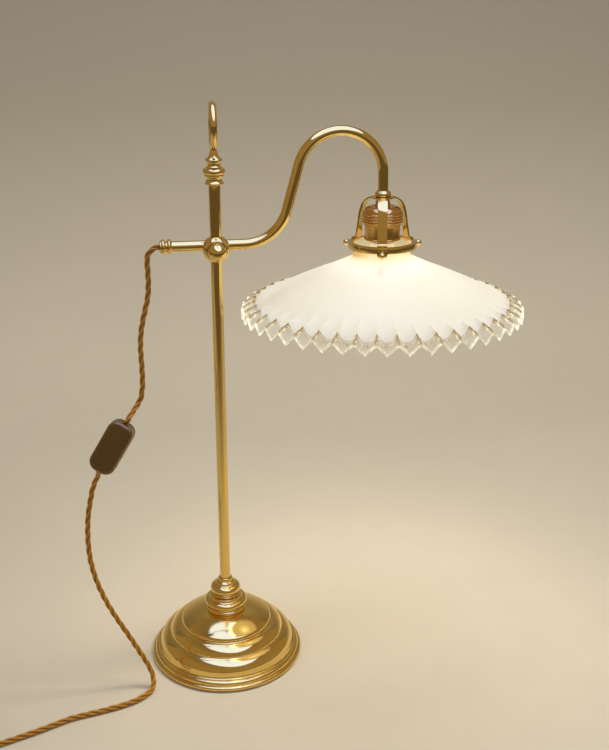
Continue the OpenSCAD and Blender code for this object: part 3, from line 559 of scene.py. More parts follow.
def clear_glass(name):
    """Clear pressed glass with slight waves in it, whose fire-polished rim gathers the bulb's light: painted
    shade darkens its crests, and painted glints glow along its rim.
    """
    finish = Finish(name, roughness=0.03, ior=1.5, transmission_weight=1.0, emission_strength=1.0,
                    specular_tint=(1.0, 0.86, 0.5))
    outward, off_crest = (
        finish.add("ShaderNodeAttribute", {"attribute_name": name}, output="Fac") for name in GLASS_NOTES)
    # Painted shade: the base colour turns dark brown along each crest.
    crest = finish.ramp(off_crest, [(0.09, WHITE), (0.17, BLACK)])
    finish.set("Base Color", finish.mix(crest, (0.97, 0.96, 0.9), (0.62, 0.48, 0.26)))
    # Painted glow: faint over the whole frill, brighter along the rim with painted glints.
    rim = finish.rise((outward - 0.9) * 10, 0.86, 0.95)
    glints = finish.ramp(finish.noise(150, 2), [(0.4, (0.3, 0.3, 0.3)), (0.62, WHITE)])
    finish.set("Emission Color", finish.mix(
        finish.mix(glints, BLACK, rim), (0.05, 0.045, 0.03), (0.36, 0.335, 0.265)))
    finish.bump(finish.noise(160, 3), 0.12, 0.0006)
    return finish.material


def lit_bulb(name, place):
    """Frosted bulb, lit: its globe glows, its neck by the cap less so."""
    finish = Finish(name, base_color=(0.6, 0.54, 0.42), roughness=0.4, emission_strength=1.0)
    _, _, z = finish.parts(finish.place(centre=tuple(place.translation * MM)))
    finish.set("Emission Color", finish.ramp(0 - z * 10, [
        (0.66, (0.5, 0.43, 0.29)), (0.76, tint(colours().glow, 1.6))]))
    return finish.material


def satin_gold(name, tone=1.0):
    """Metallised satin plastic, as on antique gold fittings."""
    base = tint(colours().switch, tone)
    finish = Finish(name, metallic=0.72, coat_weight=0.25, coat_roughness=0.25)
    grain = finish.noise(420, 3)
    finish.set("Base Color", finish.mix(grain, tint(base, 0.85), tint(base, 1.15)))
    finish.set("Roughness", 0.34 + (grain - 0.5) * 0.12)
    finish.bump(grain, 0.12, 0.0001)
    return finish.material


def gold_braid(name):
    """Silky braid: fine threads that cross round each core, on the core's own map, with painted shade on the
    side of each core that faces the others.
    """
    finish = Finish(name, sheen_weight=0.05, sheen_roughness=0.3, specular_ior_level=0.3)
    along, round_core, _ = finish.parts(finish.add("ShaderNodeTexCoord", output="UV"))
    length_waves, girth_waves = along * 5200, round_core * 62.8
    weave = ((length_waves + girth_waves).sine() * (length_waves - girth_waves).sine() + 1) * 0.5
    base = colours().flex
    threads = finish.mix(weave, tint(base, 0.62), tint(base, 1.25))
    # Painted shade: each core's base colour darkens on its side that faces the other two cores.
    out = (round_core - 0.5) * 2
    groove = finish.ramp(out * out, [(0.1, WHITE), (0.42, BLACK)])
    silk = finish.mix(finish.noise(60, 3) * 0.5, threads, tint(base, 0.8))
    finish.set("Base Color", finish.mix(groove, silk, tint(base, 0.42)))
    finish.set("Roughness", 0.5 - weave * 0.18)
    finish.bump(weave, 0.5, 0.0002)
    return finish.material


def plain(name, base, roughness, metallic=0.0, grain=260, depth=0.1, coat=0.0):
    """A plain finish with a fine grain."""
    finish = Finish(name, metallic=metallic, coat_weight=coat)
    speckle = finish.noise(grain, 4)
    finish.set("Base Color", finish.mix(speckle, tint(base, 0.85), tint(base, 1.12)))
    finish.set("Roughness", roughness + (speckle - 0.5) * 0.15)
    finish.bump(speckle, depth, 0.0003)
    return finish.material


# ---------------------------------------------------------------- base and pole


def base_outline(foot_r):
    """Outline of the stepped base, from under its foot bead up to the neck."""
    z_foot, z_band, z_ledge, z_dome, z_step = 0.5, 6.0, 11.5, 14.8, 29.5
    z_second, z_bead, z_third, top = 32.5, 41.0, 46.5, 57.5
    dome_r, second_r, neck_r = 66.0, 52.0, 20.5
    inner = foot_r - 4.2
    return (
        [(inner - 1.6, z_foot + 0.4), (inner, z_foot), (foot_r - 2.2, z_foot)]
        + arc((foot_r - 2.2, z_foot), (foot_r - 2.6, z_band - 0.2), 2.3)
        + [(foot_r - 3.6, z_band)]
        + arc((foot_r - 3.6, z_band), (foot_r - 7.2, z_ledge - 0.6), 1.7)
        + arc((foot_r - 7.4, z_ledge - 0.6), (foot_r - 8.6, z_ledge + 0.7), 0.6, 6)
        + [(foot_r - 9.2, z_ledge + 0.9), (foot_r - 10, z_dome)]
        + arc((foot_r - 10, z_dome), (dome_r, z_step), 3.2, 28)
        + [(dome_r - 0.5, z_step + 0.3)]
        + arc((dome_r - 0.5, z_step + 0.3), (dome_r - 1, z_second), 0.3, 4)
        + arc((dome_r - 1, z_second), (second_r + 0.6, z_bead), 1.8, 20)
        + [(second_r, z_bead + 0.4)]
        + arc((second_r, z_bead + 0.4), (second_r - 1.4, z_third), 0.9, 10)
        + arc((second_r - 1.4, z_third), (neck_r, top), 1.6, 28)
        + [(neck_r - 14, top)])


def neck_outline(bottom, height):
    """Outline of the turned neck: a foot, two bulbs, and the collar where the pole goes in."""
    foot_r, low_r, up_r, pole_r = 22.5, 24.5, 17.3, 6.0

    def z(part):
        return bottom + part * height

    return (
        [(pole_r, bottom), (foot_r, bottom)]
        + arc((foot_r, bottom), (foot_r, z(0.07)), 0.4, 6)
        + arc((foot_r - 0.8, z(0.09)), (foot_r - 1.6, z(0.14)), -0.6, 8)
        + arc((low_r - 2.4, z(0.14)), (low_r - 4.8, z(0.35)), 3.6, 22)
        + arc((up_r + 1, z(0.36)), (up_r + 0.8, z(0.44)), 0.6, 8)
        + arc((up_r - 1, z(0.45)), (up_r - 3.8, z(0.53)), -0.9, 10)
        + arc((up_r - 2.2, z(0.53)), (up_r - 5, z(0.79)), 3.6, 22)
        + arc((up_r - 6.7, z(0.8)), (up_r - 6.7, z(0.87)), 0.6, 8)
        + arc((pole_r + 1.9, z(0.885)), (pole_r + 1.2, z(1)), 0.9, 10)
        + [(pole_r, z(1))])


class LAMP_OT_base(bpy.types.Operator):
    """Turn the stepped base and its neck"""

    bl_idname = "lamp.base"
    bl_label = "Base"

    def execute(self, context):
        foot_r = context.scene.lamp_sizes.foot_d / MM / 2
        spun = brass("spun_brass", 0.1, rings=0.35)
        lathe("base_spinning", base_outline(foot_r), spun, "base", "base_shell", steps=192)
        bottom, top = low("base_neck").z, high("base_neck").z
        lathe("neck_turning", neck_outline(bottom, top - bottom), spun, "base", "base_neck", steps=160)
        return {"FINISHED"}


FINIAL_FOOT = 6.0
FINIAL_TIP = 591.0
RING_WIRE = 3.65
POLE_WALL = 1.5


def finial_outline(bottom, pole_r):
    """Outline of the finial: flared foot, beads, waist, flange and cone."""
    bead_r, foot = 11.4, bottom + STOP_GAP

    def z(part):
        return bottom + part * (FINIAL_TIP - bottom)

    return (
        [(pole_r + FIT, foot), (bead_r - 2.4, foot)]
        + arc((bead_r - 2.4, foot), (bead_r - 2.3, z(0.06)), 0.6, 8)
        + arc((bead_r - 2.5, z(0.07)), (bead_r - 3, z(0.2)), -0.8, 10)
        + arc((bead_r - 2.2, z(0.22)), (bead_r - 1.6, z(0.29)), 0.5, 8)
        + arc((bead_r - 1, z(0.3)), (bead_r - 2.4, z(0.46)), 1.6, 16)
        + arc((bead_r - 3.6, z(0.48)), (bead_r - 4.2, z(0.64)), -1.2, 14)
        + arc((bead_r - 3, z(0.65)), (bead_r - 3, z(0.71)), 0.4, 8)
        + arc((bead_r - 5.4, z(0.73)), (RING_WIRE - 0.4, z(1)), -0.4, 10)
        + [(0, z(1.005))])


class LAMP_OT_pole(bpy.types.Operator):
    """Draw the pole, its finial and the carrying ring"""

    bl_idname = "lamp.pole"
    bl_label = "Pole and finial"

    def execute(self, context):
        metal = brass("drawn_brass", 0.08)
        radius = context.scene.lamp_sizes.pole_d / MM / 2
        bottom, top = low("pole").z, high("pole").z
        bore = radius - POLE_WALL
        wall = [(radius, bottom + (top - bottom) * i / 24) for i in range(25)]
        lathe("pole_tube", [(bore, bottom)] + wall + [(bore, top), (bore, bottom)], metal, "base", "pole",
              steps=96)
        lathe("finial_turning", finial_outline(top - FINIAL_FOOT, radius), metal, "base", "finial",
              steps=128, ease=0.12)
        loop_low, loop_high = low("carry_ring").z, high("carry_ring").z
        loop = carry_loop((loop_high - loop_low) / 2, (loop_high + loop_low) / 2)
        done(loop, metal, "base", ["carry_ring"])
        return {"FINISHED"}


def carry_loop(outer, centre, wire=RING_WIRE, turned_by=-2):
    """The round wire ring, with a small swelling where it is brazed to the finial."""
    deselect()
    bpy.ops.mesh.primitive_torus_add(
        major_segments=128, minor_segments=40, major_radius=outer - wire, minor_radius=wire,
        rotation=(math.pi / 2, 0, math.radians(90 + turned_by)), location=(0, 0, centre))
    piece = bpy.context.object
    piece.name = "carry_loop"
    bpy.ops.object.transform_apply()
    bpy.ops.object.mode_set(mode="EDIT")
    mesh = bmesh.from_edit_mesh(piece.data)
    for vertex in mesh.verts:
        vertex.select = vertex.co.z < centre - outer + 2 * wire + 0.5
    bmesh.update_edit_mesh(piece.data)
    bpy.ops.transform.resize(value=(1.06, 1.0, 1.0), center_override=(0, 0, centre - outer + wire))
    bpy.ops.object.mode_set(mode="OBJECT")
    smooth(piece, 60)
    return piece


# ---------------------------------------------------------------- knuckle and arm


KNUCKLE_FRONT = 12.0
LINER_R = 7.0
CLAMP_SCREW_R = 3.0
SET_SCREW_R = 2.0


def knuckle_outline():
    """Outline of the knuckle along its own axis, from its rear over the arm to the flat behind the knob."""
    rear_r, ball_r, ball_at, rear_at = 9.6, 14.3, 2.0, -ARM_Y
    slope = math.degrees(math.asin((ball_r - rear_r) / (ball_at - rear_at)))
    edge = math.degrees(math.asin((KNUCKLE_FRONT - ball_at) / ball_r))
    return (
        [(0, rear_at - rear_r + 0.5), (2.6, rear_at - rear_r + 0.5)]
        + ball(rear_r, rear_at, -68, -slope, 18)
        + ball(ball_r, ball_at, -slope, edge, 30)
        + [(0, KNUCKLE_FRONT)])


class LAMP_OT_knuckle(bpy.types.Operator):
    """Turn and bore the knuckle, and turn its clamp knob"""

    bl_idname = "lamp.knuckle"
    bl_label = "Knuckle and knob"

    def execute(self, context):
        metal = brass("turned_brass", 0.07)
        knuckle = turned("knuckle_ball", knuckle_outline(), steps=128)
        arm_r = context.scene.lamp_sizes.arm_d / MM / 2
        upright = SIDEWAYS.inverted()
        cut(knuckle,
            rod(LINER_R + FIT, 60, upright @ shift(0, 0, -30)),
            rod(arm_r + FIT, 60, upright @ shift(-30, ARM_Y, 0) @ turn("Y", 90)),
            rod(CLAMP_SCREW_R + FIT, 20),
            rod(SET_SCREW_R + FIT, 20, shift(0, 0, -ARM_Y - 20)))
        bevel(knuckle, 0.25, 2, angle=40)
        smooth(knuckle, 40)
        place = shift(0, 0, PITCH) @ SIDEWAYS
        done(knuckle, metal, "arm", ["knuckle"], place)
        lathe("knob_ball", knob_outline(KNUCKLE_FRONT + 0.3), metal, "knob", "clamp_knob", place,
              steps=128, ease=0.12)
        return {"FINISHED"}


def knob_outline(start):
    """Outline of the knob: its screw, thin flange, groove and ball."""
    screw_r, flange_r, ball_r, groove_r = CLAMP_SCREW_R, 11.2, 9.8, 8.5
    inner, face = 9.1 + STOP_GAP, start + 1.8
    middle = face + 3.9
    first = math.degrees(math.asin((face + 0.7 - middle) / ball_r))
    return (
        [(0, inner), (screw_r - 0.4, inner), (screw_r, inner + 0.4), (screw_r, start)]
        + [(flange_r - 0.8, start)]
        + arc((flange_r - 0.8, start), (flange_r - 0.8, face), 0.8, 10)
        + [(groove_r, face), (groove_r, face + 0.7)]
        + ball(ball_r, middle, first, 90, 30))


class LAMP_OT_arm(bpy.types.Operator):
    """Bend the arm's tube, and turn the cap at its tail and the collar at its head"""

    bl_idname = "lamp.arm"
    bl_label = "Arm"

    def execute(self, context):
        sizes = context.scene.lamp_sizes
        metal = brass("bent_brass", 0.08)
        done(bent_tube(sizes), metal, "arm", ["arm_tube"], arm_place())
        lathe("tail_turning", tail_outline(high("tail_cap").x - CAP_X), metal, "arm", "tail_cap",
              shift(CAP_X, ARM_Y, PITCH) @ turn("Y", 90), steps=96, ease=0.1)
        lathe("head_bead", collar_outline(), metal, "arm", "head_collar", head_place(sizes),
              steps=96, ease=0.1)
        return {"FINISHED"}


ARM_WALL = 1.5
TUBE_INTO_HEAD = 6


def bent_tube(sizes):
    """The arm's tube, extruded and spun from a ring at its tail, in the arm's own plane."""
    middle, _ = arm_corners(sizes)
    radius, bend = sizes.arm_d / MM / 2, sizes.lower_bend / MM
    angle, lean = sizes.riser_angle, math.radians(LEAN)
    deselect()
    bpy.ops.mesh.primitive_circle_add(vertices=56, radius=radius, rotation=(0, math.pi / 2, 0),
                                      location=(TAIL_X, 0, 0))
    tube = bpy.context.object
    tube.name = "arm_bend"
    bpy.ops.object.transform_apply()
    bpy.ops.object.mode_set(mode="EDIT")
    bpy.ops.mesh.select_all(action="SELECT")
    for straight in (20.0, -TAIL_X - 20.0, ARM_RUN):
        extrude(straight, 0, 0)
    bpy.ops.mesh.spin(steps=30, angle=angle, center=(ARM_RUN, 0, bend), axis=(0, 1, 0))
    extrude(*(sizes.riser / MM * Vector((math.cos(angle), 0, math.sin(angle)))))
    over = -(math.pi / 2 + angle - lean)
    bpy.ops.mesh.spin(steps=64, angle=over, center=(middle.x, 0, middle.y), axis=(0, 1, 0))
    extrude(*((sizes.drop / MM + TUBE_INTO_HEAD) * Vector((math.sin(lean), 0, -math.cos(lean)))))
    weld(tube)
    wall = tube.modifiers.new("Wall", "SOLIDIFY")
    wall.thickness = ARM_WALL
    wall.offset = -1
    apply_all(tube)
    smooth(tube, 50)
    return tube


def tail_outline(length):
    """Outline of the tail cap: its face, two beads with a waist, and the step to the tube."""
    r, tube_r, bore = 7.9, 5.5, 3.95
    return (
        [(bore, 0), (r - 1.8, 0)]
        + arc((r - 1.8, 0), (r - 1.4, 1.6), 0.2, 6)
        + arc((r - 1, 1.8), (r - 1, 5.6), 1, 14)
        + arc((r - 1.9, 5.9), (r - 1.9, 7.9), -0.5, 8)
        + arc((r - 1, 8.2), (r - 1, 11.6), 1, 14)
        + [(tube_r + 0.9, 11.8), (tube_r + 0.7, length), (tube_r + 0.05, length), (tube_r + 0.05, length - 2),
           (bore, length - 2), (bore, 0)])


def collar_outline():
    """Outline of the bead above the gallery's plate."""
    r, height, bore = 8.65, 6.5, 5.55
    return (
        [(bore, 0), (r - 1.6, 0)]
        + arc((r - 1.6, 0), (r - 1.6, height - 0.9), 1.6, 16)
        + [(bore + 0.75, height), (bore, height), (bore, 0)])


# ---------------------------------------------------------------- gallery and lampholder

HOOP_TOP = -47.5
LEG_T = 1.6
PLATE_R = 11.8
ARM_BORE = 5.55
HOOP_R = 36.75
HOOP_H = 6.8
SCREW_Z = HOOP_TOP - 6.3


def leg_line():
    """Middle line of a leg, as [radius, height] pairs, from the plate to its foot on the ring."""
    return (
        [(7.0, -0.8), (10.6, -0.8)]
        + arc((10.6, -0.8), (23.35, -10.8), -2.0, 12)
        + arc((23.35, -10.8), (26.95, -26.4), -0.5, 6)
        + [(29.75, -43.6)]
        + arc((29.75, -43.6), (32.35, -46.6), 0.8, 6)
        + [(35.15, -46.7)])


def side_of(line, distance):
    """The line moved sideways by a distance."""
    points = [Vector(p) for p in line]
    moved = []
    for i, point in enumerate(points):
        along = (points[min(i + 1, len(points) - 1)] - points[max(i - 1, 0)]).normalized()
        moved.append(point + distance * Vector((-along.y, along.x)))
    return [tuple(p) for p in moved]


def leg(bearing, wide=10.2, crown=0.3, strips=8):
    """One bent strip leg with a crowned outer face, turned to its bearing."""
    outer, inner = side_of(leg_line(), LEG_T / 2), side_of(leg_line(), -LEG_T / 2)
    piece = new_point()
    draw_line([(r, -wide / 2, z) for r, z in outer + inner[::-1]])
    bpy.ops.mesh.select_all(action="SELECT")
    bpy.ops.mesh.edge_face_add()
    for _ in range(strips):
        extrude(0, wide / strips, 0)
    weld(piece, 0.001)
    normals = (np.array(outer) - np.array(inner)) / LEG_T
    for vertex in piece.data.vertices:
        gaps = np.hypot(*(np.array(outer) - (vertex.co.x, vertex.co.z)).T)
        nearest = int(np.argmin(gaps))
        if gaps[nearest] < 0.01:
            bulge = crown * (1 - (2 * vertex.co.y / wide) ** 2)
            vertex.co.x += bulge * normals[nearest][0]
            vertex.co.z += bulge * normals[nearest][1]
    pick(piece)
    piece.matrix_world = turn("Z", bearing)
    bpy.ops.object.transform_apply()
    return piece


def bearings():
    """Bearings of the three thumbscrews about the head's axis, in degrees."""
    level = turn("Y", LEAN) @ turn("X", ROLL)
    return [math.degrees(math.atan2(*(level @ t).yx)) for t in THUMBS]


class LAMP_OT_gallery(bpy.types.Operator):
    """Make the gallery: its plate and legs, its flanged ring and its thumbscrews"""

    bl_idname = "lamp.gallery"
    bl_label = "Gallery"

    def execute(self, context):
        place = head_place(context.scene.lamp_sizes)
        metal = brass("gallery_brass", 0.1)
        spider = rod(PLATE_R, LEG_T, shift(0, 0, -LEG_T))
        spider.name = "spider_strap"
        unite(spider, *[leg(b) for b in bearings()])
        cut(spider, rod(ARM_BORE, 10, shift(0, 0, -5)))
        bevel(spider, 0.3, 2, angle=38)
        smooth(spider, 38)
        done(spider, metal, "arm", ["gallery_spider"], place)

        hoop = turned("gallery_hoop", hoop_outline(), steps=144, ease=0.3)
        for bearing in bearings():
            lug = rod(5.45, 1.8, thumb_place(bearing) @ shift(0, 0, 34.85))
            bevel(lug, 0.3, 2)
            unite(hoop, lug)
            cut(hoop, rod(THUMB_R + FIT, 6, thumb_place(bearing) @ shift(0, 0, 33.5)))
        smooth(hoop, 38)
        done(hoop, metal, "arm", ["gallery_ring"], place)

        for number, (name, bearing) in enumerate(zip(THUMB_NAMES, bearings()), 1):
            lathe("thumb_" + name, thumb_outline(), metal, name + "_screw", f"thumbscrew_{number}",
                  place @ thumb_place(bearing), steps=64, ease=0.08)
        return {"FINISHED"}


THUMB_R = 2.0


def thumb_place(bearing):
    """Puts a piece on a thumbscrew's axis, with its height along Z measured from the head's axis."""
    return turn("Z", bearing) @ shift(0, 0, SCREW_Z) @ turn("Y", 90)


def hoop_outline():
    """Section of the gallery's ring: a flange turned in over an upright wall."""
    inner, wall, foot = 31.55, HOOP_R - 1.8, HOOP_TOP - HOOP_H
    return [(inner, HOOP_TOP), (HOOP_R, HOOP_TOP), (HOOP_R, foot), (wall, foot),
            (wall, HOOP_TOP - LEG_T), (inner, HOOP_TOP - LEG_T), (inner, HOOP_TOP)]


def thumb_outline():
    """Outline of a thumbscrew: shank, neck, disc and ball head."""
    tip, shank, neck = 29.9, THUMB_R, 42.25
    return (
        [(0, tip), (shank - 0.5, tip), (shank, tip + 0.6), (shank, neck - 1), (shank + 0.5, neck)]
        + arc((shank + 0.5, neck), (shank + 0.6, neck + 0.6), 0.9, 8)
        + ball(3.5, neck + 2.9, -42, 90, 16))


class LAMP_OT_lampholder(bpy.types.Operator):
    """Turn the lampholder's cap, ribbed ring and skirt, and blow the bulb"""

    bl_idname = "lamp.lampholder"
    bl_label = "Lampholder and bulb"

    def execute(self, context):
        place = head_place(context.scene.lamp_sizes)
        metal = brass("holder_brass", 0.2, tone=0.9, warmth=0.84)
        lathe("holder_dome", cap_outline(), metal, "arm", "holder_cap", place, steps=112)
        lathe("holder_ribs", ribs_outline(), metal, "arm", "holder_ring", place, steps=128, ease=0.1)
        lathe("holder_sleeve", skirt_outline(), metal, "arm", "holder_skirt", place, steps=128)
        lathe("bulb_globe", bulb_outline(), lit_bulb("lit_bulb", place), "arm", "bulb_glass", place,
              "bulb_glass", steps=64, ease=0)
        return {"FINISHED"}


HOLDER_R = 19.6
LIP_R = 20.2
DOME_FOOT = -16.3
LIP_FOOT = DOME_FOOT - 1.8
RIBS_END = -27.8
SKIRT_END = -45.5


def cap_outline():
    """Outline of the holder's stem and domed cap."""
    stem_r, stem_end, bore = 7.65, -8.8, 4
    return (
        [(bore, LIP_FOOT), (LIP_R, LIP_FOOT), (LIP_R, DOME_FOOT)]
        + arc((LIP_R, DOME_FOOT), (stem_r + 3, stem_end - 1.2), 2.4, 20)
        + arc((stem_r + 3, stem_end - 1.2), (stem_r, stem_end + 1), -0.9, 8)
        + [(stem_r, -LEG_T), (ARM_BORE, -LEG_T), (ARM_BORE, stem_end), (bore, stem_end), (bore, LIP_FOOT)])


def ribs_outline(ribs=4):
    """Section of the ribbed ring: round ribs on a sleeve."""
    inner, valley = HOLDER_R + FIT, 20.3
    pitch = (DOME_FOOT - RIBS_END) / ribs
    outline = [(inner, RIBS_END), (valley, RIBS_END)]
    for rib in range(ribs):
        start = RIBS_END + rib * pitch
        outline += arc((valley, start + 0.25), (valley, start + pitch - 0.25), 1.1, 12)
    return outline + [(valley, DOME_FOOT), (LIP_R + FIT, DOME_FOOT), (inner, LIP_FOOT), (inner, RIBS_END)]


def skirt_outline():
    """Section of the holder's skirt, with a bead at its foot and a rolled shoulder."""
    r, wall = HOLDER_R, 1.7
    return (
        [(r - wall, SKIRT_END), (r - 0.7, SKIRT_END)]
        + arc((r - 0.7, SKIRT_END), (r - 0.7, SKIRT_END + 2.2), 0.7, 10)
        + [(r - 0.7, SKIRT_END + 2.6), (r - 0.7, RIBS_END - 2.6)]
        + arc((r - 0.7, RIBS_END - 2.6), (r - 0.3, RIBS_END - 0.8), 0.5, 6)
        + [(r, RIBS_END - 0.4), (r, LIP_FOOT), (r - wall, LIP_FOOT), (r - wall, SKIRT_END)])


def bulb_outline():
    """Outline of a small round bulb, from its bottom up to its cap."""
    r, top = 22.5, SKIRT_END - 3
    middle, neck = top - 29, 12.4
    start = math.degrees(math.acos((neck + 3.5) / r))
    return ball(r, middle, -90, start, 30) + arc((neck + 3.5, middle + r * math.sin(math.radians(start))),
                                                 (neck, top), -0.9, 10)


# ---------------------------------------------------------------- shade


SHADE_NECK_R = 29.55
OPAL_EDGE = 15.0  # width of the band at the rim where the glass turns clear
CRIMP_TURN = 0.2  # how far the first crest stands from the head's X axis, in crimps
CRIMP_H = 4.8
CRIMP_REACH = 28  # how far in from the opal's edge the glass begins to ripple
FOLD_BAND = 7  # width over which round lobes turn into sharp folds
SHARP = 0.18  # share of a fold that its crest takes


def shade_line(sizes):
    """Outside of the shade without its waves, as [radius, height] pairs from the neck to the frill."""
    neck_end, foot = -57.3, -118.6
    reach = (sizes.shade_d / 2 - sizes.frill) / MM - SHADE_NECK_R
    height = neck_end - foot
    shape = [(0, 0), (0.002, 0.035), (0.006, 0.068), (0.027, 0.113), (0.06, 0.142), (0.15, 0.22),
             (0.278, 0.322), (0.415, 0.422), (0.552, 0.53), (0.689, 0.641), (0.79, 0.733), (0.86, 0.797),
             (0.93, 0.86), (0.982, 0.912)]
    return [(SHADE_NECK_R + s * reach, neck_end - t * height) for s, t in shape]


def crimp_phase(sizes, points):
    """How far round its own crimp each point is, from 0 on one crest to 1 on the next."""
    return (np.arctan2(points[:, 1], points[:, 0]) / math.tau * sizes.crimps - CRIMP_TURN) % 1


def ruffle(sizes, points, phase, off_crest):
    """Moves a turned skin's points into crimps: creases and round lobes, which fold sharply at the rim."""
    past_edge = np.hypot(points[:, 0], points[:, 1]) - (sizes.shade_d / 2 / MM - OPAL_EDGE)
    height = CRIMP_H * np.clip((past_edge + CRIMP_REACH) / CRIMP_REACH, 0, 1) ** 2.3
    lobes = 1 - 2 * np.sin(np.pi * phase) ** 0.66
    folds = np.where(off_crest < SHARP, 0.3 * off_crest, 0.3 * SHARP + (off_crest - SHARP) * 1.17)
    folds = folds - 0.05 * np.clip((off_crest - 0.8) / 0.2, 0, 1) ** 2
    blend = np.clip((past_edge - 1) / FOLD_BAND, 0, 1)
    points[:, 2] += height * (lobes * (1 - blend) + (1 - 2 * folds) * blend)


class LAMP_OT_shade(bpy.types.Operator):
    """Make the opal shade and its clear crimped frill"""

    bl_idname = "lamp.shade"
    bl_label = "Shade"

    def execute(self, context):
        sizes = context.scene.lamp_sizes
        place = head_place(sizes)
        opal = glass_skin("shade_bell", sizes, opal_section(sizes))
        done(opal, opal_glass("opal_glass", place), "arm", ["shade_opal"], place)
        frill = glass_skin("shade_ruffle", sizes, frill_section(sizes), stations=24)
        done(frill, clear_glass("clear_glass"), "arm", ["shade_frill"], place)
        return {"FINISHED"}


def opal_section(sizes):
    """Closed section of the opal glass: outside, cut edge, inside, and the fitting lip."""
    glass = sizes.glass / MM
    outside = [tuple(p) for p in curve_points(shade_line(sizes), 4)]
    inside = [(r - glass, z) if i < 6 else (r - glass * 0.4, z - glass) for i, (r, z) in enumerate(outside)]
    lip_top = HOOP_TOP - LEG_T
    lip = [(27.0, lip_top), (30.9, lip_top), (31.1, lip_top - 0.3), (31.1, lip_top - 1.7),
           (SHADE_NECK_R, lip_top - 2.1)]
    return lip + outside + inside[::-1]


def frill_section(sizes):
    """Closed section of the clear frill, from the opal's edge to its thick, fire-polished rim."""
    glass = sizes.glass / MM
    inner_r, top = shade_line(sizes)[-1]
    rim, foot, steps = sizes.shade_d / 2 / MM + 0.9, -121.6, 8
    line = [(inner_r + (rim - 1.2 - inner_r) * i / steps, top + (foot - top) * (i / steps) ** 1.1)
            for i in range(steps + 1)]
    under = [(r - glass * 0.3 * (1 - i / steps), z - glass * (1 - 0.3 * math.sin(math.pi * i / steps)))
             for i, (r, z) in enumerate(line)]
    return line + arc(line[-1], under[-1], -1.1, 8) + under[-2::-1]


def glass_skin(name, sizes, section, stations=16):
    """Spins a closed section of the shade and crimps it, and notes how far out each point lay."""
    piece = turned(name, section + [section[0]], steps=sizes.crimps * stations, ease=0)
    points = np.empty(len(piece.data.vertices) * 3)
    piece.data.vertices.foreach_get("co", points)
    points = points.reshape(-1, 3)
    outward = np.hypot(points[:, 0], points[:, 1]) / (sizes.shade_d / 2 / MM)
    phase = crimp_phase(sizes, points)
    off_crest = 1 - np.abs(2 * phase - 1)
    for note, values in zip(GLASS_NOTES, (outward, off_crest)):
        piece.data.attributes.new(note, "FLOAT", "POINT").data.foreach_set("value", values)
    ruffle(sizes, points, phase, off_crest)
    piece.data.vertices.foreach_set("co", points.ravel())
    piece.data.update()
    smooth(piece, 50)
    return piece


# ---------------------------------------------------------------- switch

SWITCH = {"length": 60.0, "width": 29.0, "thickness": 19.0, "cover": 11.0, "down": 5.0, "tilt": 8.0}
ROCKER_AT = Vector((0, 1.6 - SWITCH["thickness"] / 2, -SWITCH["down"]))


def switch_place():
    """Puts a piece in the switch's own axes: length along Z, width along X.

    Known fault: the second cross product turns the face round, so turned_to mirrors Y. The shells and
    the rocker come out front to back, and the shells and the flex's ends 16 mm from their CAD solids.
    """
    hinge = joint("rocker_tilt")
    across = Vector(hinge["axis"])
    ends = [(low(n) + high(n)) / 2 for n in ("switch_base", "switch_cover")]
    face = (ends[1] - ends[0]).normalized()
    along = across.cross(face).normalized() * -1
    face = along.cross(across).normalized()
    turned_to = Matrix((across, -face, along)).transposed().to_4x4()
    pivot = Vector(hinge["pos_m"]) / MM
    return Matrix.Translation(pivot - turned_to @ ROCKER_AT) @ turned_to


def rounded_block(size, corner, segments):
    """A block whose edges along Y are rounded."""
    piece = block(size)
    bpy.ops.object.mode_set(mode="EDIT")
    mesh = bmesh.from_edit_mesh(piece.data)
    for edge in mesh.edges:
        a, b = edge.verts
        edge.select = abs(a.co.y - b.co.y) > 1
    bmesh.update_edit_mesh(piece.data)
    bpy.ops.mesh.bevel(offset=corner, segments=segments, affect="EDGES")
    bpy.ops.object.mode_set(mode="OBJECT")
    return piece


class LAMP_OT_switch(bpy.types.Operator):
    """Mould the inline switch: base, cover and rocker"""

    bl_idname = "lamp.switch"
    bl_label = "Switch"

    def execute(self, context):
        place = switch_place()
        gold = satin_gold("switch_gold")
        seam = SWITCH["cover"] - SWITCH["thickness"] / 2
        seam_gap, flex_hole = 0.12, 3.4
        cover = rounded_block((SWITCH["width"], SWITCH["thickness"], SWITCH["length"]), 11, 14)
        cover.name = "switch_front"
        bevel(cover, 3.3, 7, angle=60)
        mouth = SWITCH["length"] / 2 - 6
        cut(cover, *[rod(flex_hole, 12, shift(0, 0, z)) for z in (mouth, -mouth - 12)])
        base = copy_of(cover, "switch_back")
        rocker_hole = rounded_block((13.0, 9.6, 21.7), 5.0, 10)
        rocker_hole.matrix_world = shift(0, -SWITCH["thickness"] / 2, -SWITCH["down"])
        half = 15 + seam_gap
        cut(cover, rocker_hole, block((60, 30, 80), (0, seam + half, 0)))
        cut(base, block((60, 30, 80), (0, seam - half, 0)))
        for piece, node in ((cover, "switch_cover"), (base, "switch_base")):
            bevel(piece, 0.35, 2, angle=55)
            smooth(piece, 40)
            done(piece, gold, "slider", [node], place)
        done(rocker_key(), satin_gold("rocker_gold", 1.25), "rocker", ["switch_rocker"], place)
        return {"FINISHED"}


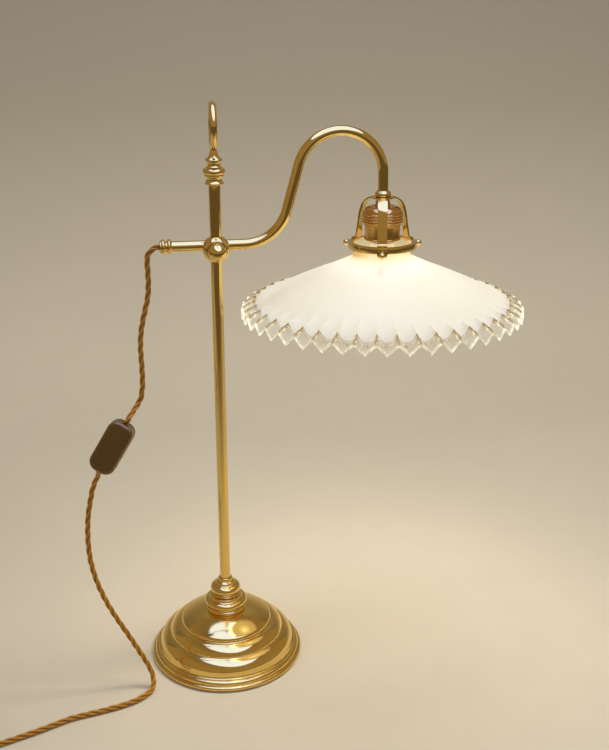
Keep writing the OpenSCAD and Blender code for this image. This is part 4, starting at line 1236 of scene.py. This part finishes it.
def rocker_key():
    """The rocker: a rounded key that dips in the middle, with one end pressed in."""
    key = rounded_block((12.2, 4.8, 20.3), 4.6, 10)
    pick(key)
    bpy.ops.object.mode_set(mode="EDIT")
    for height in (-5.0, 0.0, 5.0):
        bpy.ops.mesh.select_all(action="SELECT")
        bpy.ops.mesh.bisect(plane_co=(0, 0, height), plane_no=(0, 0, 1))
    mesh = bmesh.from_edit_mesh(key.data)
    tilt = math.tan(math.radians(SWITCH["tilt"]))
    for vertex in mesh.verts:
        if vertex.co.y < 0:
            vertex.co.y = -2.15 - abs(vertex.co.z) * tilt * 0.62
        else:
            vertex.co.y = 2.2 - abs(vertex.co.z) * tilt
    bmesh.update_edit_mesh(key.data)
    bpy.ops.object.mode_set(mode="OBJECT")
    bevel(key, 0.6, 4, angle=50)
    smooth(key, 30)
    key.name = "rocker_key"
    pick(key)
    key.matrix_world = shift(*ROCKER_AT) @ turn("X", -SWITCH["tilt"])
    bpy.ops.object.transform_apply()
    return key


# ---------------------------------------------------------------- flex, coil and plug

UPPER = [
    (-59, 13.5, 488.5), (-62, 13.5, 487.8), (-65.5, 13.5, 486), (-68.4, 13.4, 483.1), (-70.3, 13.2, 479.4),
    (-71, 12.9, 475.3), (-70.9, 12, 462), (-71, 11, 448), (-72.8, 9.5, 434), (-76.5, 7.5, 420),
    (-80, 5.5, 406), (-82.2, 3.5, 391), (-82.6, 1, 376), (-82.3, -1.5, 360), (-82.6, -4, 345),
    (-84.6, -6.4, 332), (-88.5, -8, 323.5)]
LOWER = [
    (-136.2, -15.2, 244.5), (-141.5, -17, 233), (-145.3, -19.8, 219), (-148.6, -23, 203),
    (-150.3, -27, 187), (-150.6, -31, 170), (-149.5, -34.5, 153), (-146, -38, 135),
    (-140.5, -41, 117), (-133, -44, 99), (-124, -46.5, 81), (-114, -49, 63), (-104.5, -51.5, 45),
    (-96.5, -54, 30), (-90.8, -57.5, 18), (-88.6, -63, 9.3), (-89.8, -70, 4.4),
    (-93.6, -76.2, 3.1), (-98.6, -81.2, 3.1)]
ON_TABLE = [
    (-108, -88.3, 3.1), (-122, -94.3, 3.1), (-136, -98.5, 3.1), (-150, -102, 3.1), (-164, -105, 3.1),
    (-178, -108.5, 3.1), (-191, -114, 3.1), (-204, -120, 3.1), (-217, -125.5, 3.1), (-230, -130.5, 3.1),
    (-243, -135.5, 3.1), (-256, -140, 3.1), (-270, -145, 3.1), (-284, -149.3, 3.1), (-297, -152.3, 3.4)]
COIL = {"at": (-308, -113), "lift": 0.7, "mean": 37.0}
TO_PLUG = [
    (-349, -98, 10), (-349.6, -88, 8.4), (-350, -78, 5.3), (-350, -69, 3.5), (-350, -60.5, 3.7),
    (-350, -53.15, 5.37), (-350, -48.28, 7.19)]


def coil_points(flex):
    """Turns of the stored flex: two beside each other, twice, clockwise from where the flex comes in."""
    x0, y0 = COIL["at"]
    outer, inner = COIL["mean"] + flex / 2, COIL["mean"] - flex / 2
    lower = COIL["lift"] + flex / 2
    upper = lower + flex
    steps, all_turns = 16, 4.2
    at, radii, heights = zip(
        (0.0, outer, lower), (0.82, outer, lower), (1.12, inner, lower), (1.86, inner, lower),
        (2.14, inner, upper), (2.9, inner, upper), (3.2, outer, upper), (all_turns, outer, upper))
    points = []
    for k in range(int(all_turns * steps) + 1):
        turns = k / steps
        radius = np.interp(turns, at, radii)
        angle = -math.pi / 2 - turns * math.tau
        points.append((x0 + radius * math.cos(angle), y0 + radius * math.sin(angle),
                       np.interp(turns, at, heights)))
    return points


def run_along(path):
    """Length of a path up to each of its points."""
    return np.r_[0, np.cumsum(np.linalg.norm(np.diff(path, axis=0), axis=1))]


def smooth_path(points, step=1.6):
    """Points every step along one smooth curve through given points."""
    fine = curve_points(points, 16)
    run = run_along(fine)
    stations = np.linspace(0, run[-1], int(run[-1] / step) + 1)
    return np.stack([np.interp(stations, run, fine[:, k]) for k in range(3)], 1), run[-1]


def carried_frame(path):
    """Two side directions along a path that turn no more than the path does."""
    along = np.gradient(path, axis=0)
    along /= np.linalg.norm(along, axis=1)[:, None]
    side = np.cross(along[0], (0.0, 0.0, 1.0) if abs(along[0][2]) < 0.9 else (0.0, 1.0, 0.0))
    sides = [side / np.linalg.norm(side)]
    for here in along[1:]:
        side = sides[-1] - here * (sides[-1] @ here)
        sides.append(side / np.linalg.norm(side))
    sides = np.array(sides)
    return sides, np.cross(along, sides), along


CORE_SHARE = 0.232  # a core's radius, by the flex's diameter


def twisted_flex(name, path, diameter, twist, sides=10):
    """Three round cores twisted together along a path, each with its own map of length and girth."""
    core_r = diameter * CORE_SHARE
    helix_r = diameter / 2 - core_r
    left, up, _ = carried_frame(path)
    run = run_along(path)
    ring = np.arange(sides) * math.tau / sides
    points, faces, maps = [], [], []
    for core in range(3):
        angle = run / twist * math.tau + core * math.tau / 3
        away = np.cos(angle)[:, None] * left + np.sin(angle)[:, None] * up
        middle = path + helix_r * away
        tangent = carried_frame(middle)[2]
        a = away - np.sum(away * tangent, axis=1)[:, None] * tangent
        a /= np.linalg.norm(a, axis=1)[:, None]
        b = np.cross(tangent, a)
        start = len(points)
        for i in range(len(middle)):
            points += [tuple(middle[i] + core_r * (math.cos(w) * a[i] + math.sin(w) * b[i])) for w in ring]
        for i in range(len(middle) - 1):
            for j in range(sides):
                k = (j + 1) % sides
                faces.append((start + i * sides + j, start + i * sides + k,
                              start + (i + 1) * sides + k, start + (i + 1) * sides + j))
                maps.append([(run[i] * MM, j / sides), (run[i] * MM, (j + 1) / sides),
                             (run[i + 1] * MM, (j + 1) / sides), (run[i + 1] * MM, j / sides)])
        last = start + (len(middle) - 1) * sides
        for first, order in ((start, range(sides - 1, -1, -1)), (last, range(sides))):
            faces.append(tuple(first + j for j in order))
            maps.append([(0, 0)] * sides)
    mesh = bpy.data.meshes.new(name)
    mesh.from_pydata(points, [], faces)
    uv = mesh.uv_layers.new(name="flex_map")
    uv.data.foreach_set("uv", np.array([c for face in maps for c in face], float).ravel())
    mesh.update()
    piece = bpy.data.objects.new(name, mesh)
    bpy.context.scene.collection.objects.link(piece)
    weld(piece, 0.0001)
    smooth(piece, 60)
    return piece


class LAMP_OT_flex(bpy.types.Operator):
    """Twist the flex: from the arm's tail to the switch, and on to the coil and the plug"""

    bl_idname = "lamp.flex"
    bl_label = "Flex"

    def execute(self, context):
        sizes = context.scene.lamp_sizes
        flex, twist = sizes.flex_d / MM, sizes.twist / MM
        braid = gold_braid("gold_braid")
        place = switch_place()
        half = SWITCH["length"] / 2

        def on_switch(z):
            return tuple(place @ Vector((0, 0, z)))

        tail = (CAP_X - 0.3, ARM_Y, PITCH)
        upper = [tail] + UPPER + [on_switch(half + 7), on_switch(half + 0.3)]
        lower = [on_switch(3 - half), on_switch(-1 - half)] + LOWER + ON_TABLE + coil_points(flex) + TO_PLUG
        switch_pieces = ["switch_front", "switch_back", "rocker_key", "switch_screws", "switch_contacts"]
        plug_pieces = ["plug_cover", "plug_sleeve", "plug_pins", "coil_strap"]
        lengths = (
            ("flex_to_switch", upper, ("slider", "arm"), (320, 478), ["flex_upper"], "fitting",
             switch_pieces),
            ("flex_to_plug", lower, ("base", "slider"), (14, 240),
             ["flex_lower", "flex_floor", "flex_coil", "flex_tail"], "plug", plug_pieces))
        for name, route, bodies, span, nodes, end, pieces in lengths:
            path, long = smooth_path(route)
            piece = twisted_flex(name, path, flex, twist)
            done(piece, braid, None, nodes)
            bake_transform(piece)
        return {"FINISHED"}


PLUG_AT = (-350, -48, 7.3)
PLUG_LEAN = 20.5


def plug_place():
    """Puts a piece on the plug's axis: rear at the origin, pins towards +Z."""
    return shift(*PLUG_AT) @ turn("X", PLUG_LEAN - 90)


class LAMP_OT_plug(bpy.types.Operator):
    """Mould the plug and its sleeve, and bend the tie round the coil"""

    bl_idname = "lamp.plug"
    bl_label = "Plug and tie"

    def execute(self, context):
        brown = plain("plug_brown", (0.05, 0.028, 0.018), 0.3, grain=120, depth=0.05, coat=0.3)
        cover = turned("plug_cover", plug_outline(), steps=96, ease=0.3)
        earth, pins = 17.6, 9.5
        cut(cover, *[block((8, 3.2, 14), (0, y, 33)) for y in (earth, -earth)],
            *[rod(2.5, 9, shift(x, 0, 30)) for x in (pins, -pins)])
        smooth(cover, 40)
        done(cover, brown, "base", ["plug_body"], plug_place())
        lathe("plug_sleeve", sleeve_outline(), brown, "base", "plug_guard", plug_place(), "plug_brown",
              steps=64, ease=0.15)
        black = plain("strap_black", (0.02, 0.02, 0.019), 0.5)
        done(coil_strap(), black, "base", ["coil_tie"])
        return {"FINISHED"}


def plug_outline():
    """Outline of the plug: a waisted grip and a round face."""
    face_r, rear_r, length, guard = 18.5, 10.5, 38.0, 8.0
    return (
        [(0, guard), (rear_r - 2, guard)]
        + arc((rear_r - 2, guard), (rear_r, guard + 3), 0.8, 8)
        + arc((rear_r + 0.2, guard + 3), (face_r - 1, length - 7), -1.2, 16)
        + [(face_r, length - 6), (face_r, length - 1)]
        + arc((face_r, length - 1), (face_r - 1, length), 0.3, 5)
        + [(0, length)])


def sleeve_outline(ribs=3):
    """Outline of the ribbed sleeve behind the plug."""
    outline = [(3.2, 0), (4.0, 0)]
    for rib in range(ribs):
        z, r = 0.4 + rib * 2.5, 4.0 + rib * 0.75
        outline += ([(r, z)] + arc((r, z), (r + 0.5, z + 1.6), 0.25, 5)
                    + [(r + 0.1, z + 1.9), (r + 0.3, z + 2.3)])
    return outline + [(6.3, 8.0), (3.2, 8.0), (3.2, 0)]


def coil_strap():
    """A flat strap bent round the coil."""
    wide, high_in, wall = 13.0, 12.5, 0.6
    strap = block((wide + 2 * wall, 6, high_in + 2 * wall))
    cut(strap, block((wide, 8, high_in)))
    bevel(strap, 0.25, 2, angle=50)
    pick(strap)
    strap.name = "coil_strap"
    strap.matrix_world = (shift(*COIL["at"], COIL["lift"] - FIT + high_in / 2) @ turn("Z", 35)
                          @ shift(COIL["mean"], 0, 0))
    bpy.ops.object.transform_apply()
    smooth(strap, 40)
    return strap


# ---------------------------------------------------------------- parts that keep their own shape


class LAMP_OT_inner_parts(bpy.types.Operator):
    """Give the parts that keep their construction shape their finishes"""

    bl_idname = "lamp.inner_parts"
    bl_label = "Inner parts"

    def execute(self, context):
        finishes = {
            plain("cast_iron", (0.035, 0.035, 0.038), 0.7, 0.6, grain=90, depth=0.5): ["base_weight"],
            plain("green_felt", (0.02, 0.055, 0.025), 0.95, grain=700, depth=0.8): ["felt_pad"],
            plain("zinc", (0.5, 0.5, 0.5), 0.35, 1.0): ["pole_nut", "pole_washer", "switch_screws"],
            plain("liner_nylon", (0.7, 0.66, 0.52), 0.45): ["slide_liner"],
            brass("small_brass", 0.14): ["clamp_pad", "arm_set_screw", "holder_shell", "holder_contact",
                                         "switch_contacts"],
            plain("bush_rubber", (0.03, 0.022, 0.016), 0.5): ["tail_bush"],
            plain("inner_flex", tint(colours().flex, 0.9), 0.6, grain=900, depth=0.4): ["arm_flex"],
            plain("porcelain", (0.75, 0.72, 0.64), 0.2, grain=80, depth=0.02, coat=0.5): ["holder_insert"],
            plain("nickel", (0.66, 0.64, 0.58), 0.2, 1.0): ["bulb_cap", "plug_pins"],
        }
        for material, nodes in finishes.items():
            for node in nodes:
                part = frame["nodes"][node]
                part.data.materials.clear()
                part.data.materials.append(material)
        return {"FINISHED"}


# ---------------------------------------------------------------- stage


class LAMP_OT_stage(bpy.types.Operator):
    """Lay the seamless backdrop, hang the lamps and set the camera"""

    bl_idname = "lamp.stage"
    bl_label = "Stage"

    def execute(self, context):
        sweep = backdrop()
        sweep.data.materials.append(canvas("painted_canvas"))
        room(context)
        lamps()
        camera(context)
        context.scene.view_settings.view_transform = "Standard"
        return {"FINISHED"}


def backdrop(front=-0.95, back=0.62, radius=0.5, height=1.5, wide=3.4):
    """A sweep of canvas: floor, a wide bend and an upright."""
    piece = new_point()
    piece.name = "backdrop"
    bend = [(back + radius * math.sin(a), radius * (1 - math.cos(a)))
            for a in (math.pi / 2 * i / 24 for i in range(25))]
    line = [(front, 0)] + bend + [(back + radius, height)]
    draw_line([(-wide / 2, y, z) for y, z in line])
    bpy.ops.mesh.select_all(action="SELECT")
    extrude(wide, 0, 0)
    bpy.ops.object.mode_set(mode="OBJECT")
    smooth(piece, 60)
    return piece


def canvas(name):
    """Painted canvas: soft blotches and a faint weave, painted shade that darkens the upright towards its top
    and the floor towards its front edge, where the brass mirrors it, and clear where it is seen from its
    back.
    """
    finish = Finish(name, roughness=0.9)
    base = colours().backdrop
    _, y, z = finish.parts(finish.place())
    fine = finish.noise(26, 3)
    blotches = finish.noise(3.2, 5, roughness=0.6) * 0.75 + fine * 0.25
    worn = finish.mix(blotches, tint(base, 0.93), tint(base, 1.05))
    # Painted shade: the upright darkens towards its top.
    upright = finish.mix(finish.rise(z, 0.07, 0.7), worn, tint(base, 0.6))
    # Painted shade: the floor darkens towards its front edge, so the brass mirrors it dark.
    finish.set("Base Color", finish.mix(finish.rise(0 - y, 0.3, 0.8), upright, tint(base, 0.45)))
    finish.bump(finish.noise(5, 4) + fine * 0.05, 0.25, 0.004)
    towards_lamp = finish.add("ShaderNodeNewGeometry", output="Backfacing")
    camera_ray = finish.add("ShaderNodeLightPath", output="Is Camera Ray")
    finish.over(finish.add("ShaderNodeBsdfTransparent"), camera_ray * (1 - towards_lamp))
    return finish.material


def room(context):
    """The room round the lamp: pale where it lights the lamp, and warm brown where the metal mirrors it."""
    world = bpy.data.worlds.new("room")
    context.scene.world = world
    world.use_nodes = True
    world.node_tree.nodes.clear()

    def node(kind, **links):
        made = world.node_tree.nodes.new("ShaderNode" + kind)
        for socket, output in links.items():
            world.node_tree.links.new(output, made.inputs[socket])
        return made

    light = node("Background")
    light.inputs["Color"].default_value = (1.0, 0.96, 0.88, 1)
    light.inputs["Strength"].default_value = 0.3
    split = node("SeparateXYZ", Vector=node("TexCoord").outputs["Generated"])
    remap = node("MapRange", Value=split.outputs["Z"])
    remap.inputs["From Min"].default_value = -1
    ramp = node("ValToRGB", Fac=remap.outputs[0])
    set_stops(ramp.color_ramp, [
        (0.0, (0.12, 0.1, 0.07)), (0.5, (0.13, 0.105, 0.07)), (0.53, (0.33, 0.26, 0.15)),
        (0.8, (0.34, 0.25, 0.13)), (1.0, (0.2, 0.16, 0.1))])
    mirror = node("Background", Color=ramp.outputs[0])
    mix = node("MixShader", Fac=node("LightPath").outputs["Is Glossy Ray"])
    world.node_tree.links.new(light.outputs[0], mix.inputs[1])
    world.node_tree.links.new(mirror.outputs[0], mix.inputs[2])
    node("OutputWorld", Surface=mix.outputs[0])


def area_lamp(name, at, aim, size, energy, hue, shape="DISK", size_y=None, lights=True):
    """A soft lamp aimed at a point, which lights what is dull or else only shows in what shines."""
    data = bpy.data.lights.new(name, "AREA")
    data.shape = shape
    data.size = size
    if size_y:
        data.size_y = size_y
    data.energy = energy
    data.color = hue
    lamp = bpy.data.objects.new(name, data)
    bpy.context.scene.collection.objects.link(lamp)
    lamp.location = at
    lamp.rotation_euler = (Vector(aim) - Vector(at)).to_track_quat("-Z", "Y").to_euler()
    lamp.visible_diffuse = lights
    lamp.visible_transmission = lights
    lamp.visible_glossy = not lights
    return lamp


def lamps():
    """An umbrella overhead, its image in the brass, a softbox, a fill, and the bulb's own light."""
    daylight, pale, bulb_hue = (1.0, 0.975, 0.925), (1.0, 0.97, 0.9), (1.0, 0.93, 0.8)
    image_blue = (0.24, 0.37, 1.0)  # brass turns it to a plain white
    area_lamp("umbrella_light", (0.3, 0.25, 2.1), (0.05, 0.1, 0.2), 1.0, 16, daylight)
    area_lamp("umbrella_mirrored", (0.12, -0.32, 1.6), (0, 0, 0.1), 1.6, 34, image_blue, "ELLIPSE", 2.3,
              lights=False)
    area_lamp("softbox_right", (1.5, -0.35, 1.1), (0, 0, 0.1), 0.25, 4, pale, "RECTANGLE", 0.5)
    area_lamp("fill_left", (-1.5, -0.35, 0.8), (0, 0, 0.4), 0.25, 3, pale, "RECTANGLE", 1.0)
    middle = (low("shade_frill") + high("shade_frill")) / 2 * MM
    mouth = (middle.x, middle.y, low("shade_frill").z * MM - 0.005)
    bulb = area_lamp("bulb_light", mouth, (middle.x, middle.y, 0), 0.08, 0.95, bulb_hue)
    bulb.visible_transmission = False


def camera(context):
    """The camera: in front of the lamp, a little to its left, looking down."""
    yaw, pitch, roll = 9.06, 21.3, -0.17
    data = bpy.data.cameras.new("camera")
    data.sensor_fit = "HORIZONTAL"
    data.sensor_width = 36
    data.lens = 63.52
    data.clip_end = 20
    eye = bpy.data.objects.new("camera", data)
    context.scene.collection.objects.link(eye)
    eye.matrix_world = (shift(-0.07963, -1.08087, 0.76969) @ turn("Z", -yaw) @ turn("X", 90 - pitch)
                        @ turn("Z", -roll))
    context.scene.camera = eye


# ---------------------------------------------------------------- panel and registration


class LAMP_PT_panel(bpy.types.Panel):
    """Builds the lamp piece by piece"""

    bl_idname = "LAMP_PT_panel"
    bl_label = "Desk lamp"
    bl_space_type = "VIEW_3D"
    bl_region_type = "UI"
    bl_category = "Lamp"

    def draw(self, context):
        layout = self.layout
        for group in (context.scene.lamp_sizes, context.scene.lamp_colours):
            box = layout.box()
            for key in group.__annotations__:
                box.prop(group, key)
        for step in STEPS:
            layout.operator(step.bl_idname)


STEPS = (
    LAMP_OT_stage, LAMP_OT_base, LAMP_OT_pole, LAMP_OT_knuckle, LAMP_OT_arm, LAMP_OT_gallery,
    LAMP_OT_lampholder, LAMP_OT_shade, LAMP_OT_switch, LAMP_OT_plug, LAMP_OT_flex, LAMP_OT_inner_parts)
CLASSES = (LampSizes, LampColours, *STEPS, LAMP_PT_panel)


def register():
    """Registers every class and the scene's properties."""
    for cls in CLASSES:
        bpy.utils.register_class(cls)
    bpy.types.Scene.lamp_sizes = PointerProperty(type=LampSizes)
    bpy.types.Scene.lamp_colours = PointerProperty(type=LampColours)


def unregister():
    """Takes the properties and the classes away again."""
    del bpy.types.Scene.lamp_sizes
    del bpy.types.Scene.lamp_colours
    for cls in reversed(CLASSES):
        bpy.utils.unregister_class(cls)


def main():
    """Builds everything by its operators."""
    register()
    for step in STEPS:
        section, name = step.bl_idname.split(".")
        getattr(getattr(bpy.ops, section), name)()
    deselect()


if __name__ == "__main__":
    main()
